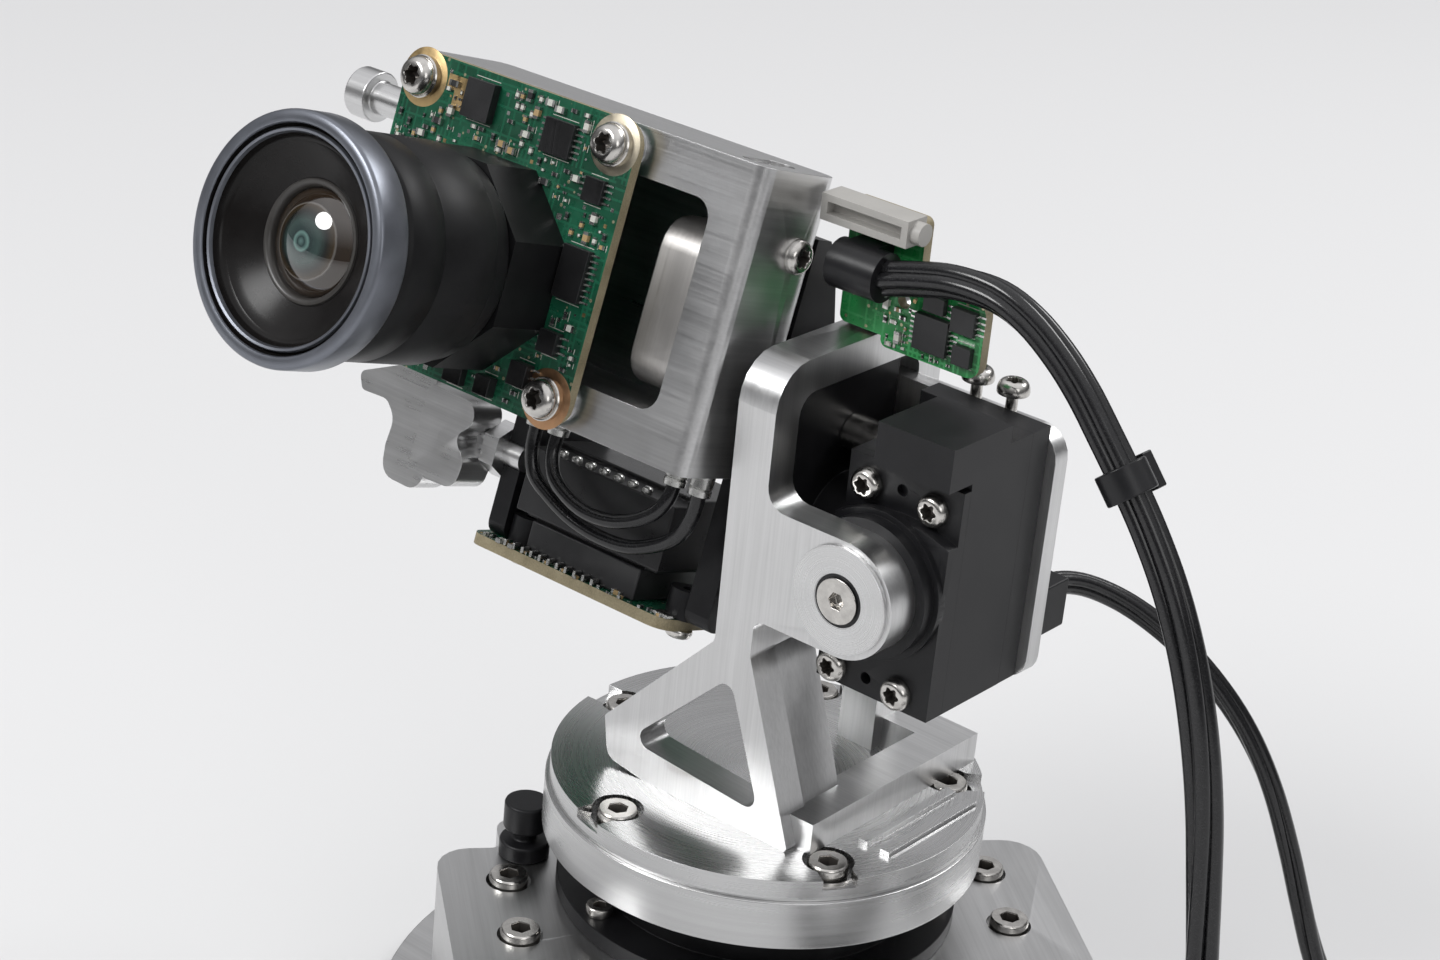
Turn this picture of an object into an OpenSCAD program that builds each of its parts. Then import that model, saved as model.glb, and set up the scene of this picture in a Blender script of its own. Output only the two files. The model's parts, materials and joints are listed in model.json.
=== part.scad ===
// Pan tilt camera mount: a turning yoke on a low base, and a camera head that a right-angle servo tilts.
// Z is the pan axis, Z = 0 is the underside of the base plate, and the lens faces -Y at rest.

/* [Base] */
// Radius of the round base plate
base_r = 52; // [50:1:60]
// Thickness of the base plate
base_t = 5; // [4:0.5:8]
// Pitch circle of the four base bolts
bolt_pcd = 92; // [86:1:96]
// Radius of each base bolt hole
bolt_r = 2.25; // [1.5:0.05:2.6]
// Turn of the base about the pan axis at rest
base_turn = -40; // [-60:5:60]
// Height of the base block on the plate
block_h = 23; // [22:0.5:28]
// Length of the base block along the pan servo
block_l = 51; // [51:1:56]
// Width of the base block across the pan servo
block_w = 88; // [84:1:88]

/* [Turntable] */
// Radius of the upper disc
disc_r = 30; // [29:0.5:34]
// Thickness of the upper disc
disc_t = 3; // [2.5:0.25:5]
// Thickness of the lower disc
ring_t = 7; // [6:0.5:10]
// How far the lower disc stands out past the upper one
ring_lip = 0.6; // [0.2:0.1:1]
// Gap under the lower disc
disc_gap = 1.4; // [0.8:0.1:2]
// Height of the bearing housing
bearing_h = 8.6; // [8:0.2:12]
// Pitch circle of the disc screws
disc_pcd = 50; // [48:0.5:51]
// Number of disc screws
disc_screws = 5; // [3:1:6]
// Angle of the first disc screw
disc_screw_turn = -104.5; // [-108:0.5:-98]

/* [Yoke] */
// Distance of the front plate's face from the pan axis
plate_front = 16.3; // [15:0.1:18]
// Thickness of the front plate and of the hook frame's bars
plate_t = 5; // [4:0.25:6]
// Left side of the hook frame
hook_x = 1; // [0.5:0.1:2]
// Width of the hook frame along X
hook_w = 6; // [5:0.25:7]
// Height of the hook frame's top above the disc
hook_top = 65.5; // [63:0.5:70]
// Depth of the hook frame's window along Y
window_d = 25.6; // [25:0.2:27]
// Side distance of the drive shaft from the pan axis
boss_x = 20; // [19:0.25:22]
// Height of the drive shaft and tilt shaft above the disc
boss_z = 38.8; // [38:0.2:41]
// Radius of the eye at the end of the boss arm
eye_r = 8; // [7.6:0.1:8.4]

/* [Servo] */
// Width of the servo case
servo_w = 17.8; // [17.4:0.1:18.2]
// Height of the servo case
servo_h = 36; // [35:0.5:38]
// Depth of the servo case
servo_d = 20; // [19.5:0.25:20.5]
// Height of the output shaft above the case's bottom
servo_out = 16.3; // [15:0.1:17]
// Wall of the servo case
servo_wall = 1.6; // [1.2:0.1:1.8]
// Radius of the drive shaft and tilt shaft
shaft_r = 2; // [1.6:0.1:2.2]
// Running clearance of a shaft in its bush
run_gap = 0.04; // [0.02:0.01:0.08]
// Teeth of each bevel gear
teeth = 16; // [12:1:18]
// Pitch radius of the bevel gears at their wide end
gear_r = 5; // [4.5:0.1:5.4]
// Face width of the bevel gears along their axis
gear_face = 1.8; // [1.2:0.1:2]

/* [Camera head] */
// Tilt of the camera above level at rest
head_tilt = 16.6; // [0:0.2:20]
// From the middles of the sensor board's screws to its edges
board_margin = 3.5; // [3:0.1:4]
// Thickness of the sensor board
board_t = 1.6; // [1:0.1:2]
// Spacing of the sensor board's screws
board_pitch = 34; // [32:0.5:35]
// Reach of the housing past the board's middle on the right
housing_right = 38.8; // [38:0.1:39.2]
// Height of the housing
housing_h = 40.6; // [40:0.2:42]
// Depth of the housing
housing_d = 16.5; // [15.5:0.1:17]
// Wall of the housing
housing_wall = 2.5; // [2:0.1:3]
// Distance of the tilt axis behind the sensor board's face
axis_back = 29.7; // [29:0.1:31]
// Distance of the tilt axis below the sensor board's middle
axis_drop = 23.7; // [23:0.1:25]
// Distance of the board's middle from the pan axis, to the left
head_x = 40.5; // [40.5:0.1:42]

/* [Lens] */
// Radius of the lens front ring
lens_r = 16; // [15.2:0.1:16.4]
// Distance of the lens front from the board's face
lens_len = 36.4; // [34:0.2:38]
// Drop of the lens axis below the board's middle
lens_drop = 3.2; // [2.5:0.1:3.4]
// Radius of the lens barrel
barrel_r = 14.5; // [13.5:0.1:15]

/* [Cords] */
// Diameter of the cable bundle
harness_d = 5; // [4:0.25:6]
// Diameter of the servo lead
lead_d = 3.6; // [3:0.2:4]
// Diameter of the short camera leads
loop_d = 2; // [1.6:0.1:2.4]

/* [Hidden] */
$fn = 64;
eps = 0.01;

top_z = base_t + block_h + bearing_h + disc_gap + ring_t + disc_t;
block_top = base_t + block_h;
bearing_top = block_top + bearing_h;
axis_z = top_z + boss_z;
plate_y = -plate_front;
inner_y = plate_y + plate_t;
window_y1 = inner_y + window_d;
axis_y = inner_y + window_d / 2;
hook_right = hook_x + hook_w;
hook_back = window_y1 + plate_t;

// Screw sizes
m2_r = 1;
m2_head_r = 1.9;
m2_head_h = 1.4;
m3_r = 1.5;
m3_head_r = 2.75;
m3_head_h = 2.6;
socket_share = 0.55;

// Spigot, races and balls of the pan bearing
race_h = 6;
race_r_in = 13.5;
race_r_mid = 16.5;
race_r_out = 20;
ball_r = 1.4;
ball_count = 24;
ball_gap = 0.08;
seat_r = 22.5;
seat_flange_r = 28;
seat_flange_t = 2.4;
seat_angle = 69;
spigot_gap = 0.05;
horn_r = 8.5;
horn_t = 2.4;
horn_seat = 1.5;
horn_hole = 6.2;
spline_r = 2.6;

// Pan servo, which lies under the disc with its output up
pan_servo_l = 36;
pan_servo_end = 13;
pan_servo_w = 20;
pan_nose_r = 6;
pan_nose_h = 5;
fit_gap = 0.2;
tab_l = 4;
tab_t = 2.4;
tab_z = block_top - 4.4;
lid_z = base_t + 1.5;
lid_t = 5.8;
pan_servo_z = lid_z + lid_t;
pan_servo_top = block_top - 0.2;
block_x0 = -pan_servo_end - tab_l - 3 - (block_l - 51) / 2;
block_x1 = block_x0 + block_l;
wing_x0 = block_x0 + 8;
wing_x1 = block_x1 - 4;
wing_rear_y = 34.5;
wing_front_y = 26;
trim_x0 = wing_x0 + 8.6;
trim_pitch = 13.7;
knob_x = wing_x0 + 1.4;
knob_y = -31.4;
cavity_r = 10.5;

// Yoke outline, in X and Z above the disc
neck_z = 25.4;
foot_left = -9;
foot_corner = -16.4;
foot_corner_z = 7;
foot_right = 16.4;
leg_depth = 13;
bar_h = 4.5;
bar_w = 6;
bar_x = 12.6;
bar_back = 23;
window_z0 = 31;
window_z1 = hook_top - plate_t + 0.3;
arm_low = boss_z - eye_r;
arm_high = boss_z + eye_r;
hub_ring_r = 7.3;
hub_ring_t = 0.5;
bush_r = 3.6;
cap_r = 3.1;
bearing_plate_x = hook_x + 1.2;
bearing_plate_t = 3.6;
foot_r = 2.6;

// Servo places, above the disc
servo_off = 1.1;
servo_x0 = boss_x + servo_off - servo_w / 2;
servo_x1 = servo_x0 + servo_w;
servo_y0 = inner_y + 2.8;
servo_y1 = servo_y0 + servo_d;
servo_z0 = boss_z - servo_out;
servo_front_t = 3.4;
servo_rear_t = 4;
nose_r = 9.4;
nose_step_r = 10.2;
nose_step_t = 0.9;
dimple_r = 0.8;
tip_rise = 0.4;
root_drop = 0.55;
servo_screw_dx = 5.2;
servo_screw_lo = 2.4;
servo_screw_hi = 28;
servo_head_r = 2.25;
plate_top = 31.6;
plate_step = 2;
arch_r = 22;
arch_dx = 2;
arch_dz = -12.5;
cap_x0 = boss_x - 1.7;
cap_z = 32.6;
cap_top = 38.5;
cap_reach = 1.6;
cap_depth = 12.5;
high_screw_dx = 0.7;
rear_t = window_y1 - servo_y1;
rear_right = servo_x1 + 1.5;
rear_top = servo_z0 + servo_h - 1;

// Rear electronics, above the disc
rear_board_y = 3;
rear_board_t = 1.6;
rear_board_x0 = hook_x + 0.2;
rear_board_x1 = 23.5;
rear_board_mid = 13;
rear_board_z0 = 64.5;
rear_board_z1 = 75;
rear_board_z2 = 83;
bracket_t = 1.4;
bracket_x0 = hook_x + 0.6;
conn_x0 = hook_x - 1.8;
conn_x1 = 12.9;
conn_z0 = 80;
conn_h = 3.6;
conn_d = 4;
post_screw_x = [17, 22.6];
post_screw_y = window_y1 - 1.1;
post_screw_r = 0.8;
post_h = 2.6;
clamp_x0 = 3;
clamp_x1 = 10.5;
clamp_z = 75.4;
clamp_r = 3.3;
socket_x0 = 22;
socket_x1 = 31;
socket_z0 = 27.4;
socket_z1 = 34.4;
socket_d = 6;

// Routes of the cords, through round points; the coils lie on the standing surface
harness_floor = harness_d / 2;
harness_route = [[10.5, -1, 123.4], [15, -1, 124.8], [21, -0.9, 126.2], [27, -0.7, 126.2],
    [32, -0.5, 124.4], [36.5, -0.2, 121.3],
    [40.5, 0, 117.6], [44.5, 0, 113.2], [48.5, 0, 108.6], [52.5, 0, 103.6], [56.3, 0, 98],
        [59.5, 0, 92], [62.2, 0, 85.5],
    [64.6, 0, 78], [66.5, 0, 70], [68, 0, 61], [69.5, 0, 51], [71, 0, 41], [72.4, 0, 31.5],
        [74.6, 0, 22.5], [78.4, 0, 14.4],
    [84, 0, 8], [91, 0, 4.2], [99, 0, 2.8], [107, 0, harness_floor]];
coil_turn_r = 30;
lead_floor = lead_d / 2;
lead_route = [[26.5, 20.3, 78.9], [26.8, 25, 78.7], [28.8, 30, 77.2], [32.8, 35, 74], [38, 39.4, 69.2],
    [43, 43, 63.4], [47.6, 46, 56.6], [51.6, 48.4, 48.6], [55, 50.4, 39.6], [58, 52.2, 30.4], [61, 54, 21.6],
    [65, 56.2, 13.4], [70.4, 59, 7], [77.4, 62.4, 3.2], [85, 66, 2], [93, 69.6, lead_floor]];
lead_turn_r = 20;
tie_at = 8;
tail_less = 0.15;

// Head places, in the head's own frame: X right, Y back from the board's face, Z up along the board
housing_y0 = board_t + 1.2;
housing_y1 = housing_y0 + housing_d;
board_w = board_pitch + 2 * board_margin;
housing_left = board_w / 2;
window_right = housing_right - 6.7;
window_half = 14;
cheek_t = 4;
cheek_face = hook_x - 3.5;
cheek_x = head_x + cheek_face - cheek_t;
hub_r = 7;
hub_t = 1.6;
hub_screw_r = 5.2;
foot_h = 4;
left_cheek_x = -2;
left_cheek_t = 3;
flange_t = 3;
flange_y1 = housing_y1 + flange_t;
corner_r = 3.6;
board_half = board_pitch / 2;
post_r = 2.9;
torx_head_r = 2.6;
torx_head_h = 1.7;
collar_r = 2.9;
collar_h = 1;
pin_y = 10;
pin_z = 11;
pin_r = 2.3;
pin_head_r = 3.6;
pin_head_t = 3.7;
pin_reach = 16;
side_screw_y = 14;
side_screw_z = 9.7;
loop_y = 12.4;
ferrule_r = 1.4;
ferrule_h = 3.4;
lower_z = -42.2;
lower_t = 1.6;
lower_y0 = 17;
lower_y1 = 42;
lower_x0 = -3;
lower_x1 = head_x - 7.6;
mod_z = -27;
mod_split = -37;
bracket_pin_y = 20;
bracket_pin_z = -30.5;
holder_h = 10;
holder_half = 13.6;
front_ring_h = 5;
thread_r = 9;
glass_r = 7;
glass_set = 8;

// ---- shared shapes ----

// A cylinder between two heights
module drum(r, z0, z1, fn = $fn) {
    translate([0, 0, z0]) cylinder(r = r, h = z1 - z0, $fn = fn);
}

// A ring between two heights
module tube(r_out, r_in, z0, z1) {
    difference() {
        drum(r_out, z0, z1);
        drum(r_in, z0 - 1, z1 + 1);
    }
}

// A cylinder along X from one place to another
module bar_along_x(r, x0, x1, fn = $fn) {
    translate([x0, 0, 0]) rotate([0, 90, 0]) cylinder(r = r, h = x1 - x0, $fn = fn);
}

// A cylinder along Y from one place to another
module bar_along_y(r, y0, y1, fn = $fn) {
    translate([0, y1, 0]) rotate([90, 0, 0]) cylinder(r = r, h = y1 - y0, $fn = fn);
}

// A box given by its two corners
module block(lo, hi) {
    translate(lo) cube(hi - lo);
}

// An outline in X and Z, pushed back along Y
module plate_xz(y0, y1) {
    translate([0, y1, 0]) rotate([90, 0, 0]) linear_extrude(y1 - y0) children();
}

// An outline in Y and Z, pushed right along X
module plate_yz(x0, x1) {
    translate([x0, 0, 0]) rotate([90, 0, 90]) linear_extrude(x1 - x0) children();
}

// Points of an arc from one angle to another
function arc(cx, cy, r, a0, a1, n = 8) = [for (i = [0:n]) let (a = a0 + (a1 - a0) * i / n) [cx + r *
    cos(a), cy + r * sin(a)]];

// One corner of an outline, rounded with radius r
function round_corner(a, b, c, r) =
    let (u = (a - b) / norm(a - b), v = (c - b) / norm(c - b),
        half = acos(max(-1, min(1, u * v))) / 2,
        d = r / tan(half), m = (u + v) / norm(u + v), o = b + m * (r / sin(half)),
        p = b + u * d - o, q = b + v * d - o,
        a0 = atan2(p[1], p[0]), turn = atan2(p[0] * q[1] - p[1] * q[0], p * q))
    arc(o[0], o[1], r, a0, a0 + turn, 5);

// An outline whose every corner is rounded; each point is [x, y, radius]
function soft_outline(pts) = let (n = len(pts), xy = [for (p = pts) [p[0], p[1]]])
    [for (i = [0:n - 1]) each (pts[i][2] < 0.05 ? [xy[i]] : round_corner(xy[(i + n - 1) % n], xy[i],
        xy[(i + 1) % n], pts[i][2]))];

// A pan-head screw along +Z, with its shank below Z = 0 and a hex recess in its head
module screw(r, len, head_r, head_h) {
    drum(r, -len, 0, 24);
    difference() {
        drum(head_r, 0, head_h, 32);
        translate([0, 0, head_h * (1 - socket_share)]) cylinder(r = head_r * 0.5, h = head_h, $fn = 6);
    }
}

module m2(len) {
    screw(m2_r, len, m2_head_r, m2_head_h);
}

module m3(len) {
    screw(m3_r, len, m3_head_r, m3_head_h);
}

// Frames in which the sub-parts are drawn
module base_frame() {
    rotate([0, 0, base_turn]) children();
}

module pan_frame() {
    translate([0, 0, top_z]) children();
}

module tilt_frame() {
    translate([0, axis_y, axis_z]) children();
}

module head_frame() {
    tilt_frame() rotate([-head_tilt, 0, 0]) translate([-head_x, -axis_back, axis_drop]) children();
}

// The lens axis, with Z out of the lens and Z = 0 at the board's face
module lens_frame() {
    head_frame() translate([0, 0, -lens_drop]) rotate([90, 0, 0]) children();
}

// A swept tube along points, its rings square to the route
function unit(v) = v / norm(v);
function route_dir(p, i) = unit(p[min(i + 1, len(p) - 1)] - p[max(i - 1, 0)]);
module swept(p, d, sides, first, last, ref = [0, 1, 0.02]) {
    n = len(p);
    pts = [for (i = [0:n - 1]) let (
        t = i == 0 ? first : i == n - 1 ? last : route_dir(p, i),
        s = unit(cross(t, ref)), w = cross(s, t))
        for (k = [0:sides - 1]) let (a = 360 * (k + 0.5) / sides) p[i] + (s * cos(a) + w * sin(a)) * d / 2];
    faces = concat([[for (k = [sides - 1:-1:0]) k]],
        [for (i = [0:n - 2]) for (k = [0:sides - 1]) let (a = i * sides + k,
            b = i * sides + (k + 1) % sides)
            each [[a, b + sides, a + sides], [a, b, b + sides]]],
        [[for (k = [0:sides - 1]) (n - 1) * sides + k]]);
    polyhedron(points = pts, faces = faces, convexity = 10);
}

// ---- base ----

module base_plate() {
    color("silver") base_frame() difference() {
        drum(base_r, 0, base_t, 128);
        for (a = [45:90:315]) rotate(a) translate([bolt_pcd / 2, 0, 0]) drum(bolt_r, -1, base_t + 1);
        for (s = block_screw_places()) translate([s[0], s[1], 0]) {
            drum(m3_r + 0.1, -1, base_t + 1, 32);
            drum(m3_head_r + 0.2, -1, m3_head_h + 0.4, 32);
        }
    }
}

// Half of the block's outline, and the same half turned over
function block_half() = [[block_x0, -wing_rear_y, 3], [wing_x0, -wing_rear_y, 1.5],
    [wing_x0, -block_w / 2, 5], [wing_x1, -block_w / 2, 5], [wing_x1, -wing_front_y, 1.5],
    [block_x1, -wing_front_y, 3]];
function block_outline() = let (h = block_half(), n = len(h))
    concat(h, [for (i = [n - 1:-1:0]) [h[i][0], -h[i][1], h[i][2]]]);
function block_screw_places() = [for (x = [wing_x0 + 6, wing_x1 - 6], y = [-1, 1]) [x,
    y * (block_w / 2 - 7)]];
function trim_screw_places() = [for (x = [trim_x0, trim_x0 + trim_pitch], y = [-1, 1]) [x,
    y * (block_w / 2 - 9.6)]];

module base_block() {
    color("lightgray") base_frame() difference() {
        translate([0, 0, base_t]) linear_extrude(block_h) polygon(soft_outline(block_outline()));
        servo_pocket();
        for (s = block_screw_places()) translate([s[0], s[1], 0]) drum(m3_r, base_t - 1, base_t + 10, 32);
        for (s = trim_screw_places()) translate([s[0], s[1], 0]) {
            drum(m3_r, block_top - 8, block_top + 1, 32);
            drum(m3_head_r + 0.4, block_top - 1.4, block_top + 1, 32);
        }
        for (s = seat_screw_places()) translate([s[0], s[1], 0]) drum(m2_r, block_top - 7,
            block_top + 1, 24);
        for (y = [-1, 1]) translate([block_x0 + block_l / 2, y * block_w / 2, base_t + block_h / 2])
            bar_along_y(m3_r, -8, 8, 32);
        translate([block_x0 - 1, -6, base_t + 3]) cube([14, 12, 9]);
    }
}

module servo_pocket() {
    x0 = -pan_servo_end - fit_gap;
    x1 = pan_servo_l - pan_servo_end + fit_gap;
    half = pan_servo_w / 2 + fit_gap;
    block([x0, -half, lid_z], [x1, half, block_top + 1]);
    block([x0 - tab_l, -half, tab_z], [x1 + tab_l, half, block_top + 1]);
    for (s = tab_screw_places()) translate([s[0], s[1], 0]) drum(m2_r, tab_z - 6, tab_z + 1, 24);
}

function tab_screw_places() = [for (x = [-pan_servo_end - tab_l / 2,
    pan_servo_l - pan_servo_end + tab_l / 2], y = [-1, 1]) [x, 5 * y]];
function seat_screw_places() = let (r = (seat_r + seat_flange_r) / 2)
    [for (x = [-1, 1], y = [-1, 1]) [x * r * cos(seat_angle), y * r * sin(seat_angle)]];

module base_block_screws() {
    color("gray") base_frame() {
        for (s = block_screw_places()) translate([s[0], s[1], m3_head_h + 0.4]) mirror([0, 0, 1]) m3(8);
        for (s = trim_screw_places()) translate([s[0], s[1], block_top - 1.4]) m3(5);
        for (s = seat_screw_places()) translate([s[0], s[1], block_top + seat_flange_t]) m2(7);
        for (y = [-1, 1]) translate([block_x0 + block_l / 2, y * block_w / 2, base_t + block_h / 2])
            rotate([-90 * y, 0, 0]) m3(7);
    }
}

module pan_servo_case() {
    color([0.12, 0.12, 0.13]) base_frame() {
        x0 = -pan_servo_end;
        x1 = x0 + pan_servo_l;
        half = pan_servo_w / 2;
        difference() {
            union() {
                block([x0, -half, pan_servo_z], [x1, half, pan_servo_top]);
                block([x0 - tab_l, -half, tab_z], [x1 + tab_l, half, tab_z + tab_t]);
                drum(pan_nose_r, pan_servo_top - 1, block_top + pan_nose_h);
            }
            drum(spline_r + run_gap, block_top - 6, block_top + pan_nose_h + 1);
            for (s = tab_screw_places()) translate([s[0], s[1], 0]) drum(m2_r + 0.05, tab_z - 1,
                tab_z + tab_t + 1, 24);
        }
    }
}

module pan_servo_lid() {
    color([0.08, 0.08, 0.09]) base_frame() block([-pan_servo_end, -pan_servo_w / 2, lid_z],
        [pan_servo_l - pan_servo_end, pan_servo_w / 2, pan_servo_z]);
}

module pan_servo_screws() {
    color("gray") base_frame() for (s = tab_screw_places())
        translate([s[0], s[1], tab_z + tab_t]) screw(m2_r, 7, m2_head_r, 1.2);
}

module bearing_housing() {
    color([0.1, 0.1, 0.11]) base_frame() difference() {
        union() {
            drum(seat_flange_r, block_top, block_top + seat_flange_t, 96);
            drum(seat_r, block_top, bearing_top, 96);
        }
        drum(race_r_out + eps, bearing_top - race_h, bearing_top + 1, 96);
        drum(race_r_mid, block_top - 1, bearing_top + 1);
        for (s = seat_screw_places()) translate([s[0], s[1], 0]) drum(m2_r + 0.05, block_top - 1,
            bearing_top + 1, 24);
    }
}

// Outline of one race, a ring with a ball groove
module race(r_in, r_out, groove_r) {
    rotate_extrude($fn = 96) difference() {
        translate([r_in, bearing_top - race_h]) square([r_out - r_in, race_h]);
        translate([groove_r, bearing_top - race_h / 2]) circle(r = ball_r + ball_gap, $fn = 24);
    }
}

module bearing_outer_race() {
    color("silver") race(race_r_mid + 0.5, race_r_out, race_r_mid);
}

module bearing_balls() {
    color("white") for (i = [0:ball_count - 1]) rotate(360 * i / ball_count)
        translate([race_r_mid, 0, bearing_top - race_h / 2]) sphere(r = ball_r, $fn = 20);
}

module lock_knob() {
    color([0.06, 0.06, 0.07]) base_frame() translate([knob_x, knob_y, block_top]) {
        drum(3.6, 0, 2.6, 32);
        drum(1.6, 2.6, 4.4, 24);
        drum(3.2, 4.4, bearing_h, 32);
    }
}

// ---- turntable ----

function disc_screw_angles() = [for (i = [0:disc_screws - 1]) disc_screw_turn + 360 * i / disc_screws];

module turntable_ring() {
    color("silver") {
        z1 = top_z - disc_t;
        z0 = z1 - ring_t;
        difference() {
            union() {
                drum(disc_r + ring_lip, z0, z1, 128);
                drum(race_r_in - spigot_gap, bearing_top - race_h, z0 + 1, 96);
            }
            drum(cavity_r, bearing_top - race_h - 1, z0 + horn_seat);
            for (a = disc_screw_angles()) rotate(a) translate([disc_pcd / 2, 0, 0]) drum(m3_r, z1 - 6,
                z1 + 1, 32);
            for (a = [0:90:270]) rotate(a) translate([horn_hole, 0, 0]) drum(m2_r, z0, z0 + 5, 24);
            for (p = yoke_screw_places()) translate([p[0], p[1], 0]) {
                drum(m2_r + 0.1, z0 - 1, z1 + 1, 24);
                drum(m2_head_r + 0.2, z0 - 1, z0 + m2_head_h + 0.4, 32);
            }
        }
    }
}

function yoke_screw_places() = [[-8, plate_y + plate_t / 2], [12.5, plate_y + plate_t / 2],
    [bar_x + bar_w / 2, -2], [bar_x + bar_w / 2, 12], [hook_x + hook_w / 2, window_y1 + plate_t / 2]];

module turntable_disc() {
    color("gainsboro") pan_frame() difference() {
        union() {
            drum(disc_r, -disc_t, 0, 128);
            for (x = [21, 24.6]) translate([x, -7, 0]) cube([1.6, 20, 0.8]);
        }
        for (a = disc_screw_angles()) rotate(a) {
            translate([disc_pcd / 2, 0, 0]) drum(m3_head_r + 0.7, -disc_t + 0.4, 1, 32);
            translate([disc_pcd / 2, 0, 0]) drum(m3_r + 0.1, -disc_t - 1, 1, 32);
            translate([disc_pcd / 2, -2.4, -disc_t + 1.6]) cube([disc_r, 4.8, disc_t]);
        }
        for (p = yoke_screw_places()) translate([p[0], p[1], 0]) drum(m2_r + 0.1, -disc_t - 1, 1, 24);
    }
}

module turntable_screws() {
    color("gray") pan_frame() {
        for (a = disc_screw_angles()) rotate(a) translate([disc_pcd / 2, 0, -disc_t + 0.4]) m3(4.8);
        for (p = yoke_screw_places()) translate([p[0], p[1], -disc_t - ring_t + m2_head_h + 0.4])
            mirror([0, 0, 1]) m2(11);
    }
}

module bearing_inner_race() {
    color("silver") race(race_r_in, race_r_mid - 0.5, race_r_mid);
}

function horn_top() = top_z - disc_t - ring_t + horn_seat;

module pan_horn() {
    color([0.15, 0.15, 0.16]) {
        z1 = horn_top();
        difference() {
            union() {
                drum(horn_r, z1 - horn_t, z1);
                drum(spline_r, block_top - 5.5, z1 - horn_t + eps);
            }
            for (a = [0:90:270]) rotate(a) translate([horn_hole, 0, 0]) drum(m2_r + 0.1,
                z1 - horn_t - 1, z1 + 1, 24);
        }
    }
}

module horn_screws() {
    color("gray") for (a = [0:90:270]) rotate(a)
        translate([horn_hole, 0, horn_top() - horn_t]) mirror([0, 0, 1]) screw(m2_r, 5, 1.7, 1.2);
}

// ---- yoke ----

// Outline of the truss, the post and the arm of the boss
function front_outline() = soft_outline([
    [foot_right, 0, 0.6], [hook_right, neck_z, 2], [hook_right, arm_low, 1.5], [boss_x, arm_low, 0],
        [boss_x, arm_high, 0],
    [hook_right, arm_high, 3], [hook_right, arm_high + 4, 0], [hook_x, arm_high + 4, 0],
        [hook_x, neck_z, 1.5],
    [foot_corner, foot_corner_z, 0.6], [foot_corner + 1, 0.9, 2], [foot_left, 0, 0]]);

function truss_window() = soft_outline([[-12, 5.2, 1.6], [11, 3.6, 1.6], [4.2, 21.2, 1.6]]);

function leg_outline() = [[foot_right - 0.6, 0], [hook_right, neck_z], [hook_right, arm_low],
    [hook_x, arm_low],
    [hook_x, neck_z - 1], [3.5, neck_z - 2], [12.5, 0]];

module yoke() {
    color("gainsboro") pan_frame() difference() {
        union() {
            plate_xz(plate_y, inner_y) difference() {
                polygon(front_outline());
                polygon(truss_window());
            }
            plate_xz(plate_y, inner_y) translate([boss_x, boss_z]) circle(r = eye_r, $fn = 96);
            plate_xz(plate_y, plate_y + leg_depth) polygon(leg_outline());
            translate([boss_x, 0, boss_z]) bar_along_y(hub_ring_r, plate_y - hub_ring_t, plate_y + 1, 96);
            hook_frame();
            block([hook_x, window_y1, 0], [hook_right, hook_back, window_z0]);
            block([bar_x, plate_y + 2, 0], [bar_x + bar_w, bar_back, bar_h]);
            block([hook_x, window_y1 + 2, 0], [bar_x + 1, bar_back, bar_h]);
        }
        translate([boss_x, 0, boss_z]) bar_along_y(bush_r, plate_y - 2, inner_y + 1);
        for (p = yoke_screw_places()) translate([p[0], p[1], 0]) drum(m2_r, -1, bar_h - 1, 24);
        for (z = rear_leg_screw_z()) translate([hook_x + hook_w / 2, 0, z]) {
            bar_along_y(m2_r + 0.05, window_y1 - 1, hook_back + 1, 24);
            bar_along_y(m2_head_r + 0.15, hook_back - 1.6, hook_back + 1, 32);
        }
        for (y = bracket_foot_y()) translate([hook_x + hook_w / 2, y, 0]) drum(m2_r, hook_top - 4,
            hook_top + 1, 24);
    }
}

// The closed frame around the tilt shaft
module hook_frame() {
    plate_yz(hook_x, hook_right) difference() {
        polygon(soft_outline([[plate_y, arm_low - 4, 0], [hook_back, arm_low - 4, 0],
            [hook_back, hook_top, 6], [plate_y, hook_top, 6]]));
        polygon(soft_outline([[inner_y, window_z0, 3], [window_y1, window_z0, 3],
            [window_y1, window_z1, 3], [inner_y, window_z1, 3]]));
    }
}

function rear_leg_screw_z() = [window_z0 + 8, window_z0 + 21];
function bracket_foot_y() = [axis_y + 6.5, axis_y + 10.2];

module front_bush() {
    color([0.1, 0.1, 0.1]) pan_frame() translate([boss_x, 0, boss_z]) difference() {
        bar_along_y(bush_r, plate_y - hub_ring_t, inner_y);
        bar_along_y(shaft_r + run_gap, plate_y - 2, inner_y + 1);
    }
}

// Places of the bearing plate's own feet and of its spacer, as Y and Z
function low_feet() = [for (y = [-4.2, 4.2]) [axis_y + y, boss_z - 5]];
function spacer_feet() = [[axis_y + 0.8, boss_z + 13]];
function plate_feet() = concat(low_feet(), spacer_feet());

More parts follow.
